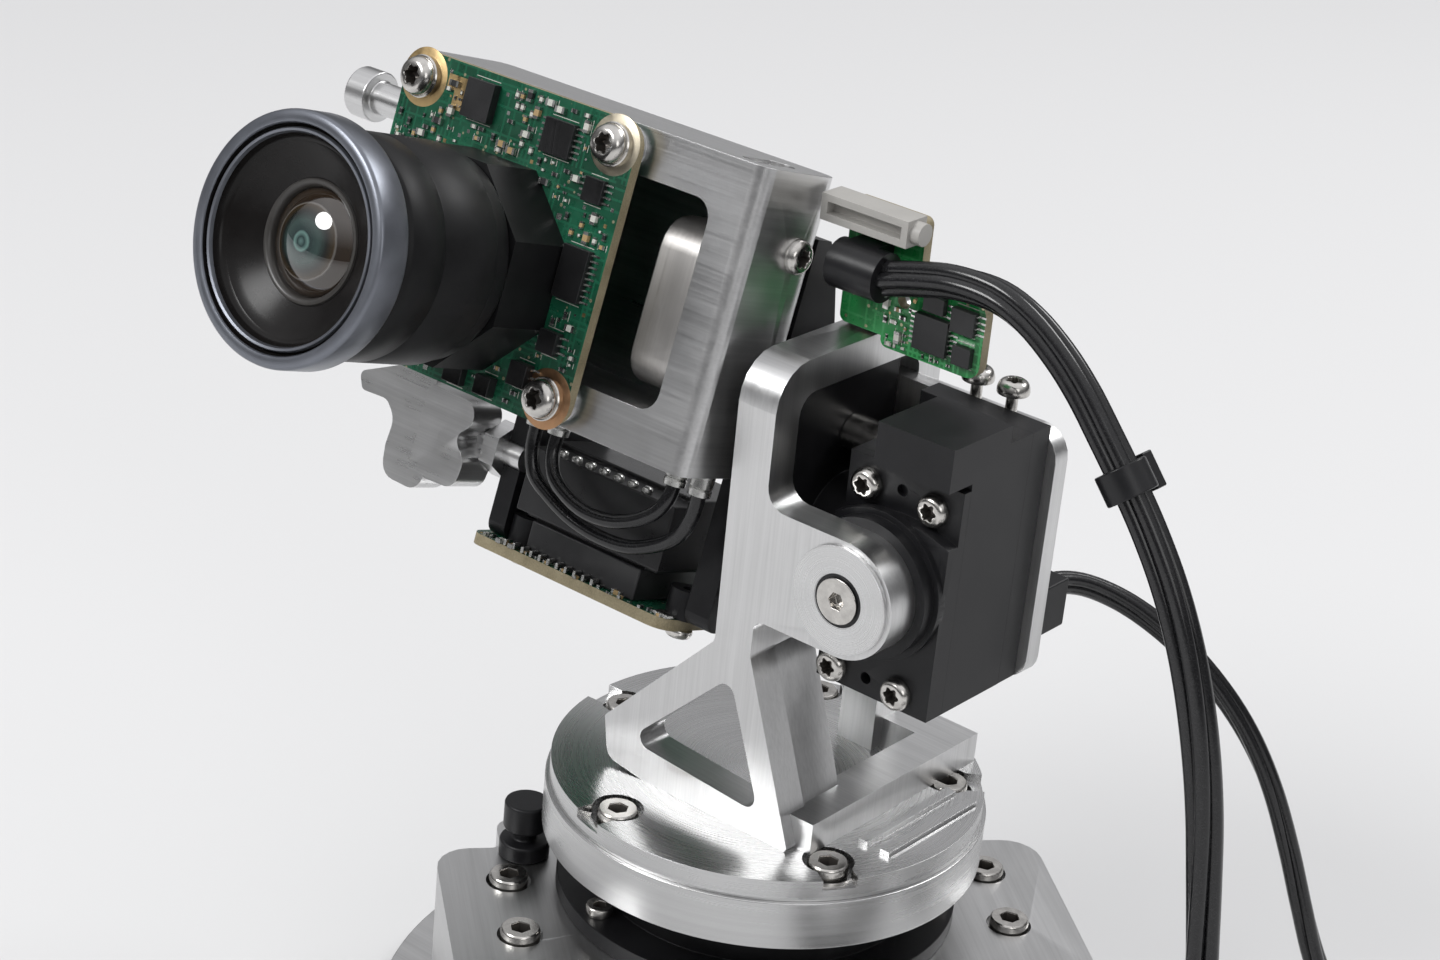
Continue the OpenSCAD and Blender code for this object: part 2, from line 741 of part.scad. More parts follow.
module bearing_plate() {
    color([0.08, 0.08, 0.09]) pan_frame() difference() {
        union() {
            plate_yz(bearing_plate_x, bearing_plate_x + bearing_plate_t)
                polygon(soft_outline([[inner_y, window_z0, 3.1], [servo_y1, window_z0, 0],
                    [servo_y1, window_z1, 0], [inner_y, window_z1, 3.1]]));
            translate([0, axis_y, boss_z]) bar_along_x(7.5, bearing_plate_x, servo_x0);
            for (p = low_feet()) translate([0, p[0], p[1]]) bar_along_x(foot_r, bearing_plate_x,
                servo_x0, 32);
        }
        translate([0, axis_y, boss_z]) bar_along_x(bush_r, 0, servo_x0 + 1);
        for (p = plate_feet()) translate([0, p[0], p[1]]) bar_along_x(m2_r + 0.05, 0, servo_x0 + 1, 24);
    }
}

module tilt_bush() {
    color("goldenrod") pan_frame() translate([0, axis_y, boss_z]) difference() {
        bar_along_x(bush_r, bearing_plate_x, servo_x0);
        bar_along_x(shaft_r + run_gap, 0, servo_x0 + 1);
    }
}

module bearing_plate_screws() {
    color("gray") pan_frame() {
        for (p = plate_feet()) translate([bearing_plate_x, p[0], p[1]]) rotate([0, -90, 0])
            screw(m2_r, servo_x0 - bearing_plate_x + 1.5, 1.7, 0.8);
        for (p = spacer_feet()) translate([bearing_plate_x + bearing_plate_t, p[0], p[1]])
            rotate([0, 90, 0]) tube(foot_r, m2_r + 0.05, 0, servo_x0 - bearing_plate_x - bearing_plate_t);
    }
}

// ---- tilt servo ----

module servo_front_cover() {
    color([0.1, 0.1, 0.11]) pan_frame() difference() {
        union() {
            block([servo_x0, servo_y0 + plate_step, servo_z0], [servo_x1, servo_y0 + servo_front_t,
                servo_z0 + plate_top]);
            intersection() {
                block([servo_x0, servo_y0, servo_z0], [servo_x1, servo_y0 + plate_step + 0.5,
                    servo_z0 + plate_top]);
                translate([boss_x + arch_dx, 0, boss_z + arch_dz]) bar_along_y(arch_r, servo_y0 - 1,
                    servo_y1, 96);
            }
            translate([boss_x, 0, boss_z]) {
                bar_along_y(nose_r, inner_y, servo_y0 + 1);
                bar_along_y(nose_step_r, servo_y0 - nose_step_t, servo_y0 + 0.5);
            }
        }
        translate([boss_x, 0, servo_z0 + servo_screw_lo]) bar_along_y(dimple_r, servo_y0 - 1,
            servo_y0 + 1.6, 24);
        translate([boss_x + high_screw_dx, 0, servo_z0 + servo_screw_hi + 0.8]) bar_along_y(dimple_r,
            servo_y0 - 1, servo_y0 + plate_step + 1, 24);
        translate([boss_x, 0, boss_z]) bar_along_y(shaft_r + run_gap, inner_y - 1, servo_y1);
        for (p = servo_screw_places()) translate([p[0], 0, p[1]]) bar_along_y(m2_r + 0.05,
            servo_y0 - 1, servo_y1, 24);
    }
}

// Places of the servo's screws as X, Z and how far the face lies back there
function servo_screw_places() = [for (x = [-1, 1], high = [0, 1]) [boss_x + high * high_screw_dx
    + x * servo_screw_dx, servo_z0 + (high == 1 ? servo_screw_hi : servo_screw_lo), high * plate_step]];

module servo_case() {
    color([0.12, 0.12, 0.13]) pan_frame() difference() {
        union() {
            block([servo_x0, servo_y0 + servo_front_t, servo_z0],
                [servo_x1, servo_y1 - servo_rear_t, servo_z0 + plate_top]);
            block([cap_x0, servo_y0 - cap_reach, servo_z0 + cap_z],
                [servo_x1, servo_y0 - cap_reach + cap_depth, servo_z0 + cap_top]);
            block([cap_x0, servo_y0 + servo_front_t, servo_z0 + plate_top - 1],
                [servo_x1, servo_y1 - servo_rear_t, servo_z0 + servo_h]);
        }
        block([servo_x0 + servo_wall, servo_y0 + servo_front_t - 1, servo_z0 + servo_wall + 4.6],
            [servo_x1 - servo_wall, servo_y1 - servo_rear_t + 1, servo_z0 + plate_top - 5.6]);
        translate([0, axis_y, boss_z]) bar_along_x(shaft_r + run_gap, servo_x0 - 1,
            servo_x0 + servo_wall + 1);
        for (p = servo_screw_places()) translate([p[0], 0, p[1]]) bar_along_y(m2_r, servo_y0, servo_y1, 24);
        for (p = plate_feet()) translate([0, p[0], p[1]]) bar_along_x(m2_r, servo_x0 - 1, servo_x0 + 3, 24);
    }
}

module servo_rear_cover() {
    color([0.1, 0.1, 0.11]) pan_frame() difference() {
        block([servo_x0, servo_y1 - servo_rear_t, servo_z0], [servo_x1, servo_y1, servo_z0 + servo_h]);
        translate([boss_x, 0, boss_z]) bar_along_y(shaft_r + run_gap, servo_y0,
            servo_y1 - servo_rear_t + 2);
        for (p = servo_screw_places()) translate([p[0], 0, p[1]]) bar_along_y(m2_r, servo_y0,
            servo_y1 + 1, 24);
    }
}

module servo_screws() {
    color("gray") pan_frame() {
        for (p = servo_screw_places()) translate([p[0], servo_y0 + p[2], p[1]]) rotate([90, 0, 0])
            screw(m2_r, 13, servo_head_r, 1.6);
        for (p = servo_screw_places()) translate([p[0], window_y1, p[1]]) rotate([-90, 0,
            0]) screw(m2_r, rear_t + 1.8, servo_head_r, 1.3);
    }
}

module rear_frame() {
    color("lightgray") pan_frame() difference() {
        plate_xz(servo_y1, window_y1) polygon(soft_outline([
            [hook_right + 0.6, servo_z0 - 0.5, 1], [rear_right, servo_z0 - 0.5, 3],
                [rear_right, rear_top, 4],
            [hook_x, rear_top, 1], [hook_x, window_z0 + 3.4, 1], [hook_right + 0.6, window_z0 + 3.4, 0]]));
        for (p = servo_screw_places()) translate([p[0], 0, p[1]]) bar_along_y(m2_r + 0.05,
            servo_y1 - 1, window_y1 + 1, 24);
        for (z = rear_leg_screw_z()) translate([hook_x + hook_w / 2, 0, z]) bar_along_y(m2_r,
            servo_y1 - 1, window_y1 + 1, 24);
        for (x = post_screw_x) translate([x, post_screw_y, 0]) drum(post_screw_r, rear_top - 4,
            rear_top + 1, 24);
    }
}

module rear_frame_screws() {
    color("gray") pan_frame() {
        for (z = rear_leg_screw_z()) translate([hook_x + hook_w / 2, hook_back - 1.6, z])
            rotate([-90, 0, 0]) screw(m2_r, plate_t - 1.6 + rear_t, m2_head_r, m2_head_h);
        for (y = bracket_foot_y()) translate([hook_x + hook_w / 2, y,
            hook_top + bracket_t]) screw(m2_r, bracket_t + 3.5, 1.7, 1.2);
        for (x = post_screw_x) translate([x, post_screw_y, rear_top]) {
            drum(1.4, 0, post_h, 32);
            translate([0, 0, post_h]) screw(post_screw_r, post_h + 3.6, 2.2, 1.8);
        }
    }
}

// ---- rear electronics ----

module rear_board() {
    color([0.05, 0.35, 0.2]) pan_frame() {
        difference() {
            plate_xz(rear_board_y, rear_board_y + rear_board_t) polygon(soft_outline([
                [hook_right + 1, rear_board_z0, 1], [rear_board_x1, rear_board_z0, 2],
                    [rear_board_x1, rear_board_z1, 2], [rear_board_mid, rear_board_z1, 1],
                [rear_board_mid, rear_board_z2, 1], [rear_board_x0, rear_board_z2, 1],
                    [rear_board_x0, hook_top + 0.4, 1], [hook_right + 1, hook_top + 0.4, 0]]));
            for (x = bracket_screw_x()) translate([x, 0, bracket_screw_z()]) bar_along_y(m2_r, 0, 8, 24);
        }
        for (c = [[13.6, 66.4, 5, 4.6], [19, 70.4, 3.4, 3], [19.8, 66.2, 2.6, 2.4], [14.6, 71.8, 3, 2]])
            translate([c[0], rear_board_y - 0.9, c[1]]) cube([c[2], 0.9, c[3]]);
    }
}

function bracket_screw_x() = [bracket_x0 + 2.4, bracket_x0 + 9.4];
function bracket_screw_z() = hook_top + 6;

module board_bracket() {
    y0 = rear_board_y + rear_board_t;
    color("silver") pan_frame() difference() {
        union() {
            block([bracket_x0, y0, hook_top], [hook_right - 0.4, axis_y + 12, hook_top + bracket_t]);
            block([bracket_x0, y0, hook_top], [rear_board_mid, y0 + bracket_t, hook_top + 9]);
        }
        for (y = bracket_foot_y()) translate([hook_x + hook_w / 2, y, 0]) drum(m2_r + 0.05,
            hook_top - 1, hook_top + 3, 24);
        for (x = bracket_screw_x()) translate([x, 0, bracket_screw_z()]) bar_along_y(m2_r, 0, 10, 24);
    }
}

module rear_connector() {
    y0 = rear_board_y - conn_d;
    color("lightgray") pan_frame() difference() {
        union() {
            block([conn_x0, y0, conn_z0], [conn_x1, rear_board_y, conn_z0 + conn_h]);
            translate([0, y0 + conn_d / 2, conn_z0 + conn_h / 2]) bar_along_x(1.5, conn_x1 - 1,
                conn_x1 + 1.4, 32);
        }
        block([conn_x0 + 1, y0 - 1, conn_z0 + 1], [conn_x1 - 1, y0 + 1.6, conn_z0 + conn_h - 1]);
    }
}

module cable_clamp() {
    color([0.07, 0.07, 0.07]) pan_frame() {
        translate([0, -1, clamp_z]) bar_along_x(clamp_r, clamp_x0, clamp_x1, 48);
        block([clamp_x0 + 1, -1, clamp_z - clamp_r], [clamp_x1 - 2, rear_board_y, clamp_z + clamp_r]);
    }
}

module servo_socket() {
    color([0.07, 0.07, 0.08]) pan_frame() difference() {
        block([socket_x0, window_y1, socket_z0], [socket_x1, window_y1 + socket_d, socket_z1]);
        block([socket_x0 + 1, window_y1 + socket_d - 1, socket_z0 + 1],
            [socket_x0 + 1.8, window_y1 + socket_d + 1, socket_z1 - 1]);
    }
}

// ---- cords ----

module harness() {
    color([0.06, 0.06, 0.06]) swept(harness_route, harness_d, 10, [1, 0, 0], [1, 0, 0]);
}

// Direction in which a route ends, in degrees about Z
function route_heading(p) = let (n = len(p), d = p[n - 1] - p[n - 2]) atan2(d[1], d[0]);
function flat_dir(a) = [cos(a), sin(a), 0];

// The frame of a coil, which a route joins along its outer lane, turning right
module coil_frame(route, turn_r, d) {
    n = len(route);
    translate([route[n - 1][0], route[n - 1][1], 0]) rotate(route_heading(route))
        translate([0, -turn_r - d / 2, 0]) children();
}

// A coil of two lanes, with the short tail that leaves the inner lane for its plug
module coil(turn_r, d) {
    rotate_extrude($fn = 72) translate([turn_r - d, 0]) square([2 * d, d]);
    leave = [coil_tail_x(turn_r, d) - coil_tail_r(d), 0];
    bend = [coil_tail_x(turn_r, d), coil_tail_r(d)];
    r = d / 2 - tail_less;
    translate([0, 0, d / 2]) {
        rod(leave, bend, r);
        translate([bend[0], bend[1], 0]) sphere(r = r + tail_less / 2, $fn = 24);
        rod(bend, bend + [d, 0], r);
    }
}

// A level cylinder between two places
module rod(a, b, r) {
    translate([a[0], a[1], 0]) rotate(atan2(b[1] - a[1], b[0] - a[0])) bar_along_x(r, 0, norm(b - a), 24);
}

function coil_tail_r(d) = 2.4 * d;
function coil_tail_x(turn_r, d) = coil_tail_r(d) - turn_r + d / 2;

module harness_coil() {
    color([0.06, 0.06, 0.06]) coil_frame(harness_route, coil_turn_r, harness_d) coil(coil_turn_r,
        harness_d);
}

// A flat connector, with its back on the end of a coil's tail
module cord_plug(turn_r, d, len, w) {
    translate([coil_tail_x(turn_r, d) + d, coil_tail_r(d) - w / 2, 0]) difference() {
        union() {
            cube([len, w, d + 1]);
            translate([2, -0.6, 0]) cube([2, w + 1.2, d + 1]);
        }
        for (i = [0:3]) translate([len - 3, (i + 0.5) * w / 4 - 0.5, d / 2]) cube([4, 1, 1]);
    }
}

module harness_plug() {
    color([0.85, 0.83, 0.78]) coil_frame(harness_route, coil_turn_r, harness_d) cord_plug(coil_turn_r,
        harness_d, 14, 10);
}

module harness_tie() {
    p = harness_route[tie_at];
    dir = route_dir(harness_route, tie_at);
    color([0.05, 0.05, 0.05]) {
        translate(p) rotate([0, 90 - asin(dir[2]), 0]) {
            tube(harness_d / 2 + 0.9, harness_d / 2, -2, 2);
            translate([-1.6, harness_d / 2 + 0.7, -2.4]) cube([3.2, 2, 4.8]);
        }
        coil_frame(harness_route, coil_turn_r, harness_d) for (a = [-30, 210]) coil_band(a,
            coil_turn_r, harness_d);
        coil_frame(lead_route, lead_turn_r, lead_d) coil_band(-60, lead_turn_r, lead_d);
    }
}

// A band round both lanes of a coil
module coil_band(a, turn_r, d) {
    rotate(a) translate([turn_r, 0, 0]) difference() {
        translate([-d - 0.7, -1.5, 0]) cube([2 * d + 1.4, 3, d + 0.7]);
        translate([-d, -2, -1]) cube([2 * d, 4, d + 1]);
    }
}

module servo_lead() {
    color([0.06, 0.06, 0.06]) swept(lead_route, lead_d, 8, [0, 1, 0],
        flat_dir(route_heading(lead_route)), [0.8, -0.6, 0]);
}

module lead_coil() {
    color([0.06, 0.06, 0.06]) coil_frame(lead_route, lead_turn_r, lead_d) coil(lead_turn_r, lead_d);
}

module lead_plug() {
    color([0.85, 0.83, 0.78]) coil_frame(lead_route, lead_turn_r, lead_d) cord_plug(lead_turn_r,
        lead_d, 10, 7.5);
}

// ---- drive ----

// A toothed outline; a tooth lies at angle 0, or a gap if shift is half a tooth
function gear_points(n, r, shift) = [for (i = [0:n - 1]) let (a = 360 * (i + shift) / n, w = 360 / n)
    each [for (k = [[-0.3, root_drop], [-0.115, -tip_rise], [0.115, -tip_rise], [0.3, root_drop]])
        let (q = r - k[1], b = a + k[0] * w) [q * cos(b), q * sin(b)]]];

// A bevel gear whose cone comes to a point at the origin, with its wide end at Z = -r
module bevel(shift, hub_len) {
    translate([0, 0, -gear_r]) {
        linear_extrude(gear_face, scale = (gear_r - gear_face) / gear_r) polygon(gear_points(teeth,
            gear_r, shift));
        drum(gear_r - 1.6, -hub_len, eps, 48);
    }
}

module drive_shaft() {
    cap_y = plate_y - hub_ring_t;
    color("silver") pan_frame() translate([boss_x, 0, boss_z]) {
        difference() {
            union() {
                bar_along_y(shaft_r, cap_y, servo_y1 - servo_rear_t + 1.8);
                bar_along_y(cap_r, cap_y - 0.4, cap_y - 0.1);
                bar_along_y(shaft_r, cap_y - 0.2, cap_y + 0.5);
            }
            bar_along_y(1.2, cap_y - 2, cap_y + 0.9, 6);
        }
        translate([0, axis_y, 0]) rotate([90, 0, 0]) bevel(teeth / 2, 0.8);
    }
}

module tilt_shaft() {
    color("silver") tilt_frame() {
        bar_along_x(shaft_r, cheek_face - cheek_t, boss_x - gear_r + 0.5);
        translate([boss_x, 0, 0]) rotate([0, 90, 0]) bevel(teeth / 4 + 0.5, 1);
    }
}

module tilt_hub() {
    color("silver") tilt_frame() rotate([-head_tilt, 0, 0]) difference() {
        union() {
            bar_along_x(hub_r, cheek_face, cheek_face + hub_t);
            bar_along_x(shaft_r + 1.4, cheek_face, cheek_face + hub_t + 0.8);
        }
        bar_along_x(shaft_r, cheek_face - 1, cheek_face + 4);
        for (a = [45:90:315]) rotate([a, 0, 0]) translate([0, hub_screw_r, 0])
            bar_along_x(m2_r + 0.05, cheek_face - 1, cheek_face + 4, 24);
    }
}

// ---- camera head ----

// One side cheek of the tilt bracket, round the tilt axis and down to the lower board
module cheek(x0, x1, eye) {
    plate_yz(x0, x1) {
        polygon(soft_outline([[housing_y1, 12, 0], [flange_y1, 12, 0], [flange_y1 + 3, 8, 1],
            [axis_back + eye * 0.86, -axis_drop + eye * 0.5, 0],
            [axis_back + eye, -axis_drop, 0], [axis_back + eye * 0.9, lower_z + 4, 3],
                [lower_y1 - 8, lower_z, 1],
            [lower_y0 + 2, lower_z, 2], [lower_y0 + 2, -housing_h / 2 - 0.4, 0],
                [housing_y1, -housing_h / 2 - 0.4, 0]]));
        translate([axis_back, -axis_drop]) circle(r = eye);
    }
}

module tilt_bracket() {
    color([0.09, 0.09, 0.1]) head_frame() difference() {
        union() {
            cheek(cheek_x, cheek_x + cheek_t, 9);
            cheek(left_cheek_x, left_cheek_x + left_cheek_t, 8);
            block([left_cheek_x, housing_y1, -housing_h / 2], [cheek_x + cheek_t, flange_y1, 12]);
            for (p = foot_places()) translate([p[0], p[1], 0]) drum(2.6, lower_z, lower_z + foot_h, 32);
        }
        translate([0, axis_back, -axis_drop]) {
            bar_along_x(shaft_r, cheek_x - 1, cheek_x + cheek_t + 1);
            for (a = [45:90:315]) rotate([a, 0, 0]) translate([0, hub_screw_r, 0])
                bar_along_x(m2_r, cheek_x - 1, cheek_x + cheek_t + 1, 24);
        }
        for (p = flange_screw_places()) translate([p[0], 0, p[1]]) bar_along_y(m2_r + 0.05,
            housing_y1 - 1, flange_y1 + 1, 24);
        for (p = foot_places()) translate([p[0], p[1], 0]) drum(m2_r, lower_z - 1, lower_z + 5, 24);
        translate([0, bracket_pin_y, bracket_pin_z]) bar_along_x(2, left_cheek_x - 1,
            left_cheek_x + left_cheek_t + 1);
        block([4, housing_y1 - 1, -10], [cheek_x - 6, flange_y1 + 1, 4]);
    }
}

function flange_screw_places() = [for (x = [left_cheek_x + left_cheek_t + 2.2, cheek_x - 2.2],
    z = [-15, 8]) [x, z]];
function foot_places() = [for (x = [left_cheek_x + left_cheek_t + 2, cheek_x - 2.2], y = [lower_y0 + 5,
    lower_y0 + 16]) [x, y]];

module bracket_screws() {
    color("gray") head_frame() {
        for (p = flange_screw_places()) translate([p[0], flange_y1, p[1]]) rotate([-90, 0,
            0]) m2(flange_t + 2.2);
        for (p = foot_places()) translate([p[0], p[1], lower_z - lower_t])
            mirror([0, 0, 1]) screw(m2_r, lower_t + foot_h - 0.4, m2_head_r, 1.2);
        translate([cheek_x + cheek_t + hub_t, axis_back, -axis_drop]) for (a = [45:90:315])
            rotate([a, 0, 0]) translate([0, hub_screw_r, 0]) rotate([0, 90, 0]) screw(m2_r, hub_t + 3,
                1.7, 0.8);
    }
}

module camera_housing() {
    h = housing_h / 2;
    color("silver") head_frame() difference() {
        union() {
            translate([0, 0, -h]) linear_extrude(housing_h) polygon(soft_outline([
                [-housing_left, housing_y0, 1.5], [housing_right, housing_y0, 2.2],
                    [housing_right, housing_y1, 3], [-housing_left, housing_y1, 2]]));
            for (x = [-1, 1], z = [-1, 1]) translate([x * board_half, 0,
                z * board_half]) bar_along_y(post_r, board_t, housing_y0 + 1, 40);
        }
        plate_xz(housing_y0 - 1, housing_y1 - housing_wall) polygon(soft_outline([
            [-housing_left + housing_wall, -window_half, 2.7], [window_right, -window_half, 2.7],
            [window_right, window_half, 2.7], [-housing_left + housing_wall, window_half, 2.7]]));
        for (x = [-1, 1], z = [-1, 1]) translate([x * board_half, 0, z * board_half]) bar_along_y(1.25,
            0, housing_y0 + 7, 24);
        for (p = flange_screw_places()) translate([p[0], 0, p[1]]) bar_along_y(m2_r, housing_y1 - 2.4,
            housing_y1 + 1, 24);
        translate([0, pin_y, pin_z]) bar_along_x(pin_r - 0.5, -housing_left - 1,
            -housing_left + housing_wall + 1);
        translate([0, side_screw_y, side_screw_z]) bar_along_x(m3_r, housing_right - 6,
            housing_right + 1, 32);
        translate([housing_right - 5, 0, h - 1.6]) linear_extrude(3) hull() {
            translate([0, housing_y0 + 4.5]) circle(r = 2, $fn = 32);
            translate([0, housing_y0 + 9.5]) circle(r = 2, $fn = 32);
        }
    }
}

module housing_block() {
    y1 = housing_y1 - housing_wall;
    color("lightgray") head_frame() plate_yz(window_right - 8.6, window_right) polygon(soft_outline([
        [y1 - 10.8, -12, 4.4], [y1, -12, 0], [y1, 10.5, 0], [y1 - 10.8, 10.5, 4.4]]));
}

module housing_screws() {
    color("gray") head_frame() {
        translate([housing_right, side_screw_y, side_screw_z]) rotate([0, 90, 0]) screw(m3_r, 5.5, 2.4,
            1.5);
        translate([housing_right - 5, housing_y0 + 7, housing_h / 2 - 1.6]) drum(1.7, 0, 0.6, 32);
    }
}

module sensor_board() {
    b = board_w / 2;
    color([0.05, 0.35, 0.2]) head_frame() difference() {
        plate_xz(0, board_t) polygon(soft_outline([[-b, -b, corner_r], [b, -b, corner_r],
            [b, b, corner_r], [-b, b, corner_r]]));
        for (x = [-1, 1], z = [-1, 1]) translate([x * board_half, 0, z * board_half]) bar_along_y(1.3,
            -1, board_t + 1, 24);
    }
}

// Chips on the sensor board: middle X, middle Z, width, height, thickness
chips = [[-6, 16.6, 4.8, 5.2, 1.4], [8.2, 15.4, 5, 4.6, 1], [16, 10.6, 3.2, 3.2, 0.9],
    [16.2, -0.4, 4.4, 7, 1.1],
    [15.6, -9.8, 3, 3, 1.4], [7.2, -18.4, 2.6, 2.6, 1.6], [12.4, -15.2, 3, 3.2, 1.6],
        [1.6, -18.6, 3.2, 2.4, 1.2]];

module board_chips() {
    color([0.08, 0.08, 0.08]) head_frame() {
        for (c = chips) translate([c[0] - c[2] / 2, -c[4], c[1] - c[3] / 2]) cube([c[2], c[4], c[3]]);
        block([-5, -1.2, -lens_drop - 4], [5, 0, -lens_drop + 4]);
    }
}

module board_screws() {
    color("gray") head_frame() for (x = [-1, 1], z = [-1, 1]) translate([x * board_half, 0,
        z * board_half]) rotate([90, 0, 0]) {
        drum(1.25, -board_t - 6, 0, 24);
        drum(collar_r, 0, collar_h, 40);
        difference() {
            drum(torx_head_r, collar_h, collar_h + torx_head_h, 40);
            translate([0, 0, collar_h + torx_head_h - 1]) cylinder(r = 1.3, h = 2, $fn = 6);
        }
    }
}

module lens_holder() {
    color([0.07, 0.07, 0.07]) lens_frame() difference() {
        rotate(22.5) cylinder(r = holder_half / cos(22.5), h = holder_h, $fn = 8);
        drum(thread_r, 2, holder_h + 1);
        translate([-7, -7, -1]) cube([14, 14, 4]);
    }
}

module lens_barrel() {
    z1 = lens_len - front_ring_h;
    color([0.06, 0.06, 0.06]) lens_frame() rotate_extrude($fn = 96) polygon([
        [glass_r, 4], [thread_r - 0.05, 4], [thread_r - 0.05, holder_h], [barrel_r - 0.6, holder_h],
            [barrel_r - 0.6, holder_h + 3],
        [barrel_r, holder_h + 3.4], [barrel_r, z1 - 6], [barrel_r - 0.6, z1 - 5.6], [barrel_r - 0.6, z1],
        [glass_r, z1], [glass_r, 4]]);
}

module lens_ring() {
    z0 = lens_len - front_ring_h;
    color([0.12, 0.12, 0.13]) lens_frame() rotate_extrude($fn = 96) polygon([
        [glass_r + 0.4, z0], [lens_r - 0.4, z0], [lens_r, z0 + 0.4], [lens_r, lens_len - 0.7],
            [lens_r - 0.7, lens_len],
        [lens_r - 2, lens_len], [lens_r - 2.4, lens_len - 1.4], [lens_r - 3.2, lens_len - 1.8],
            [lens_r - 3.4, lens_len - 2.6],
        [glass_r + 0.4, z0 + 0.2]]);
}

module lens_glass() {
    z0 = lens_len - front_ring_h - glass_set;
    dome_r = 8.2;
    rise = 3.4;
    color([0.2, 0.3, 0.35, 0.6]) lens_frame() intersection() {
        translate([0, 0, z0 + glass_set - 0.6 + rise - dome_r]) sphere(r = dome_r, $fn = 96);
        drum(glass_r - 0.05, z0, lens_len - 1, 96);
    }
}

module pivot_pin() {
    color("silver") head_frame() translate([0, pin_y, pin_z]) {
        bar_along_x(pin_r - 0.5, -housing_left - 0.5, -housing_left + housing_wall);
        bar_along_x(pin_r, -housing_left - pin_reach + pin_head_t - 0.5, -housing_left);
        bar_along_x(pin_head_r, -housing_left - pin_reach, -housing_left - pin_reach + pin_head_t);
    }
}

module side_bracket() {
    color("gainsboro") head_frame() {
        difference() {
            plate_xz(16.5, 21.5) polygon(soft_outline([[-29.6, -27.6, 0.9], [-22.4, -24.4, 1],
                [-15.4, -24, 0.8], [-14.6, -31, 2],
                [-13.2, -34.5, 2], [-13.6, -40.4, 2.4], [-21, -40.2, 2.6], [-21.6, -36, 2],
                    [-21.2, -32, 3], [-23.4, -29.8, 2], [-28.4, -30, 1]]));
            translate([0, bracket_pin_y, bracket_pin_z]) bar_along_x(1.9, -15, -12);
        }
        translate([0, bracket_pin_y, bracket_pin_z]) {
            bar_along_x(1.9, -14.8, left_cheek_x + left_cheek_t);
            bar_along_x(4, left_cheek_x - 2.6, left_cheek_x, 6);
        }
        plate_xz(bracket_pin_y - 6, bracket_pin_y) polygon(soft_outline([[-14.4, -24.5, 1],
            [-6, -24.7, 2.2], [-4.6, -27.6, 2.2], [-8, -30, 1.6], [-4.9, -33, 2.2],
            [-5.6, -37.2, 2.2], [-14.4, -37.5, 1]]));
    }
}

module lower_board() {
    color([0.05, 0.35, 0.2]) head_frame() difference() {
        translate([0, 0, lower_z - lower_t]) linear_extrude(lower_t) polygon(soft_outline([
            [lower_x0, lower_y0, 2], [lower_x1, lower_y0, 3], [lower_x1, lower_y1, 2],
                [lower_x0, lower_y1, 2]]));
        for (p = foot_places()) translate([p[0], p[1], 0]) drum(m2_r + 0.05, lower_z - 4, lower_z + 1, 24);
    }
}

module driver_modules() {
    x0 = left_cheek_x + left_cheek_t + 4.8;
    x1 = cheek_x - 5.4;
    color([0.09, 0.09, 0.1]) head_frame() {
        block([x0, lower_y0 + 1.5, lower_z], [x1 - 3, lower_y1 - 4, mod_split - 0.6]);
        block([x0 - 3, flange_y1 + 1, mod_split], [x1, lower_y1 - 4, mod_z]);
        block([x0 - 2, lower_y0 + 2.5, mod_split - 0.6], [x1 - 1, lower_y1 - 5, mod_split]);
        block([x0 - 3, lower_y0 + 1, mod_split], [x1, flange_y1 + 1, mod_z - 0.8]);
    }
}

// Routes of the two short camera leads, in the head's frame
lead_top = -housing_h / 2 - ferrule_h;
outer_loop = [[7, loop_y, lead_top], [7.1, 12.6, -27], [8.4, 12.9, -30.2], [11.6, 13.2, -32.2],
    [16, 13.5, -33.9], [21, 13.7, -34.6],
    [26, 13.7, -34.2], [30.4, 13.6, -32.4], [33.6, 13.2, -30], [35.2, 12.8, -26.8],
        [35.6, loop_y, lead_top]];
inner_loop = [[10.8, loop_y, lead_top], [11, 12.2, -26.4], [12.4, 11.9, -29], [15.2, 11.6, -30.6],
    [19, 11.4, -31.6],
    [23, 11.4, -31.5], [26.8, 11.6, -30.3], [29.8, 11.9, -28.2], [31.2, 12.2, -25.8],
        [31.4, loop_y, lead_top]];

module short_lead(route) {
    n = len(route);
    head_frame() {
        swept(route, loop_d, 8, [0, 0, -1], [0, 0, 1]);
        for (i = [0, n - 1]) translate([route[i][0], route[i][1], 0]) drum(ferrule_r, lead_top,
            -housing_h / 2, 32);
    }
}

module camera_lead_outer() {
    color([0.06, 0.06, 0.06]) short_lead(outer_loop);
}

module camera_lead_inner() {
    color([0.06, 0.06, 0.06]) short_lead(inner_loop);
}

base_plate();
base_block();
base_block_screws();
pan_servo_case();
pan_servo_lid();
pan_servo_screws();
bearing_housing();
bearing_outer_race();
bearing_balls();
lock_knob();
turntable_ring();
turntable_disc();
turntable_screws();
bearing_inner_race();
pan_horn();
horn_screws();
yoke();
front_bush();
bearing_plate();
tilt_bush();
bearing_plate_screws();
servo_front_cover();
servo_case();
servo_rear_cover();
servo_screws();
rear_frame();
rear_frame_screws();
rear_board();
board_bracket();
rear_connector();
cable_clamp();
servo_socket();
harness();
harness_coil();
harness_tie();
harness_plug();
servo_lead();
lead_coil();
lead_plug();
drive_shaft();
tilt_shaft();
tilt_hub();
tilt_bracket();
bracket_screws();
camera_housing();
housing_block();
housing_screws();
sensor_board();
board_chips();
board_screws();
lens_holder();
lens_barrel();
lens_ring();
lens_glass();
pivot_pin();
side_bracket();
lower_board();
driver_modules();
camera_lead_outer();
camera_lead_inner();
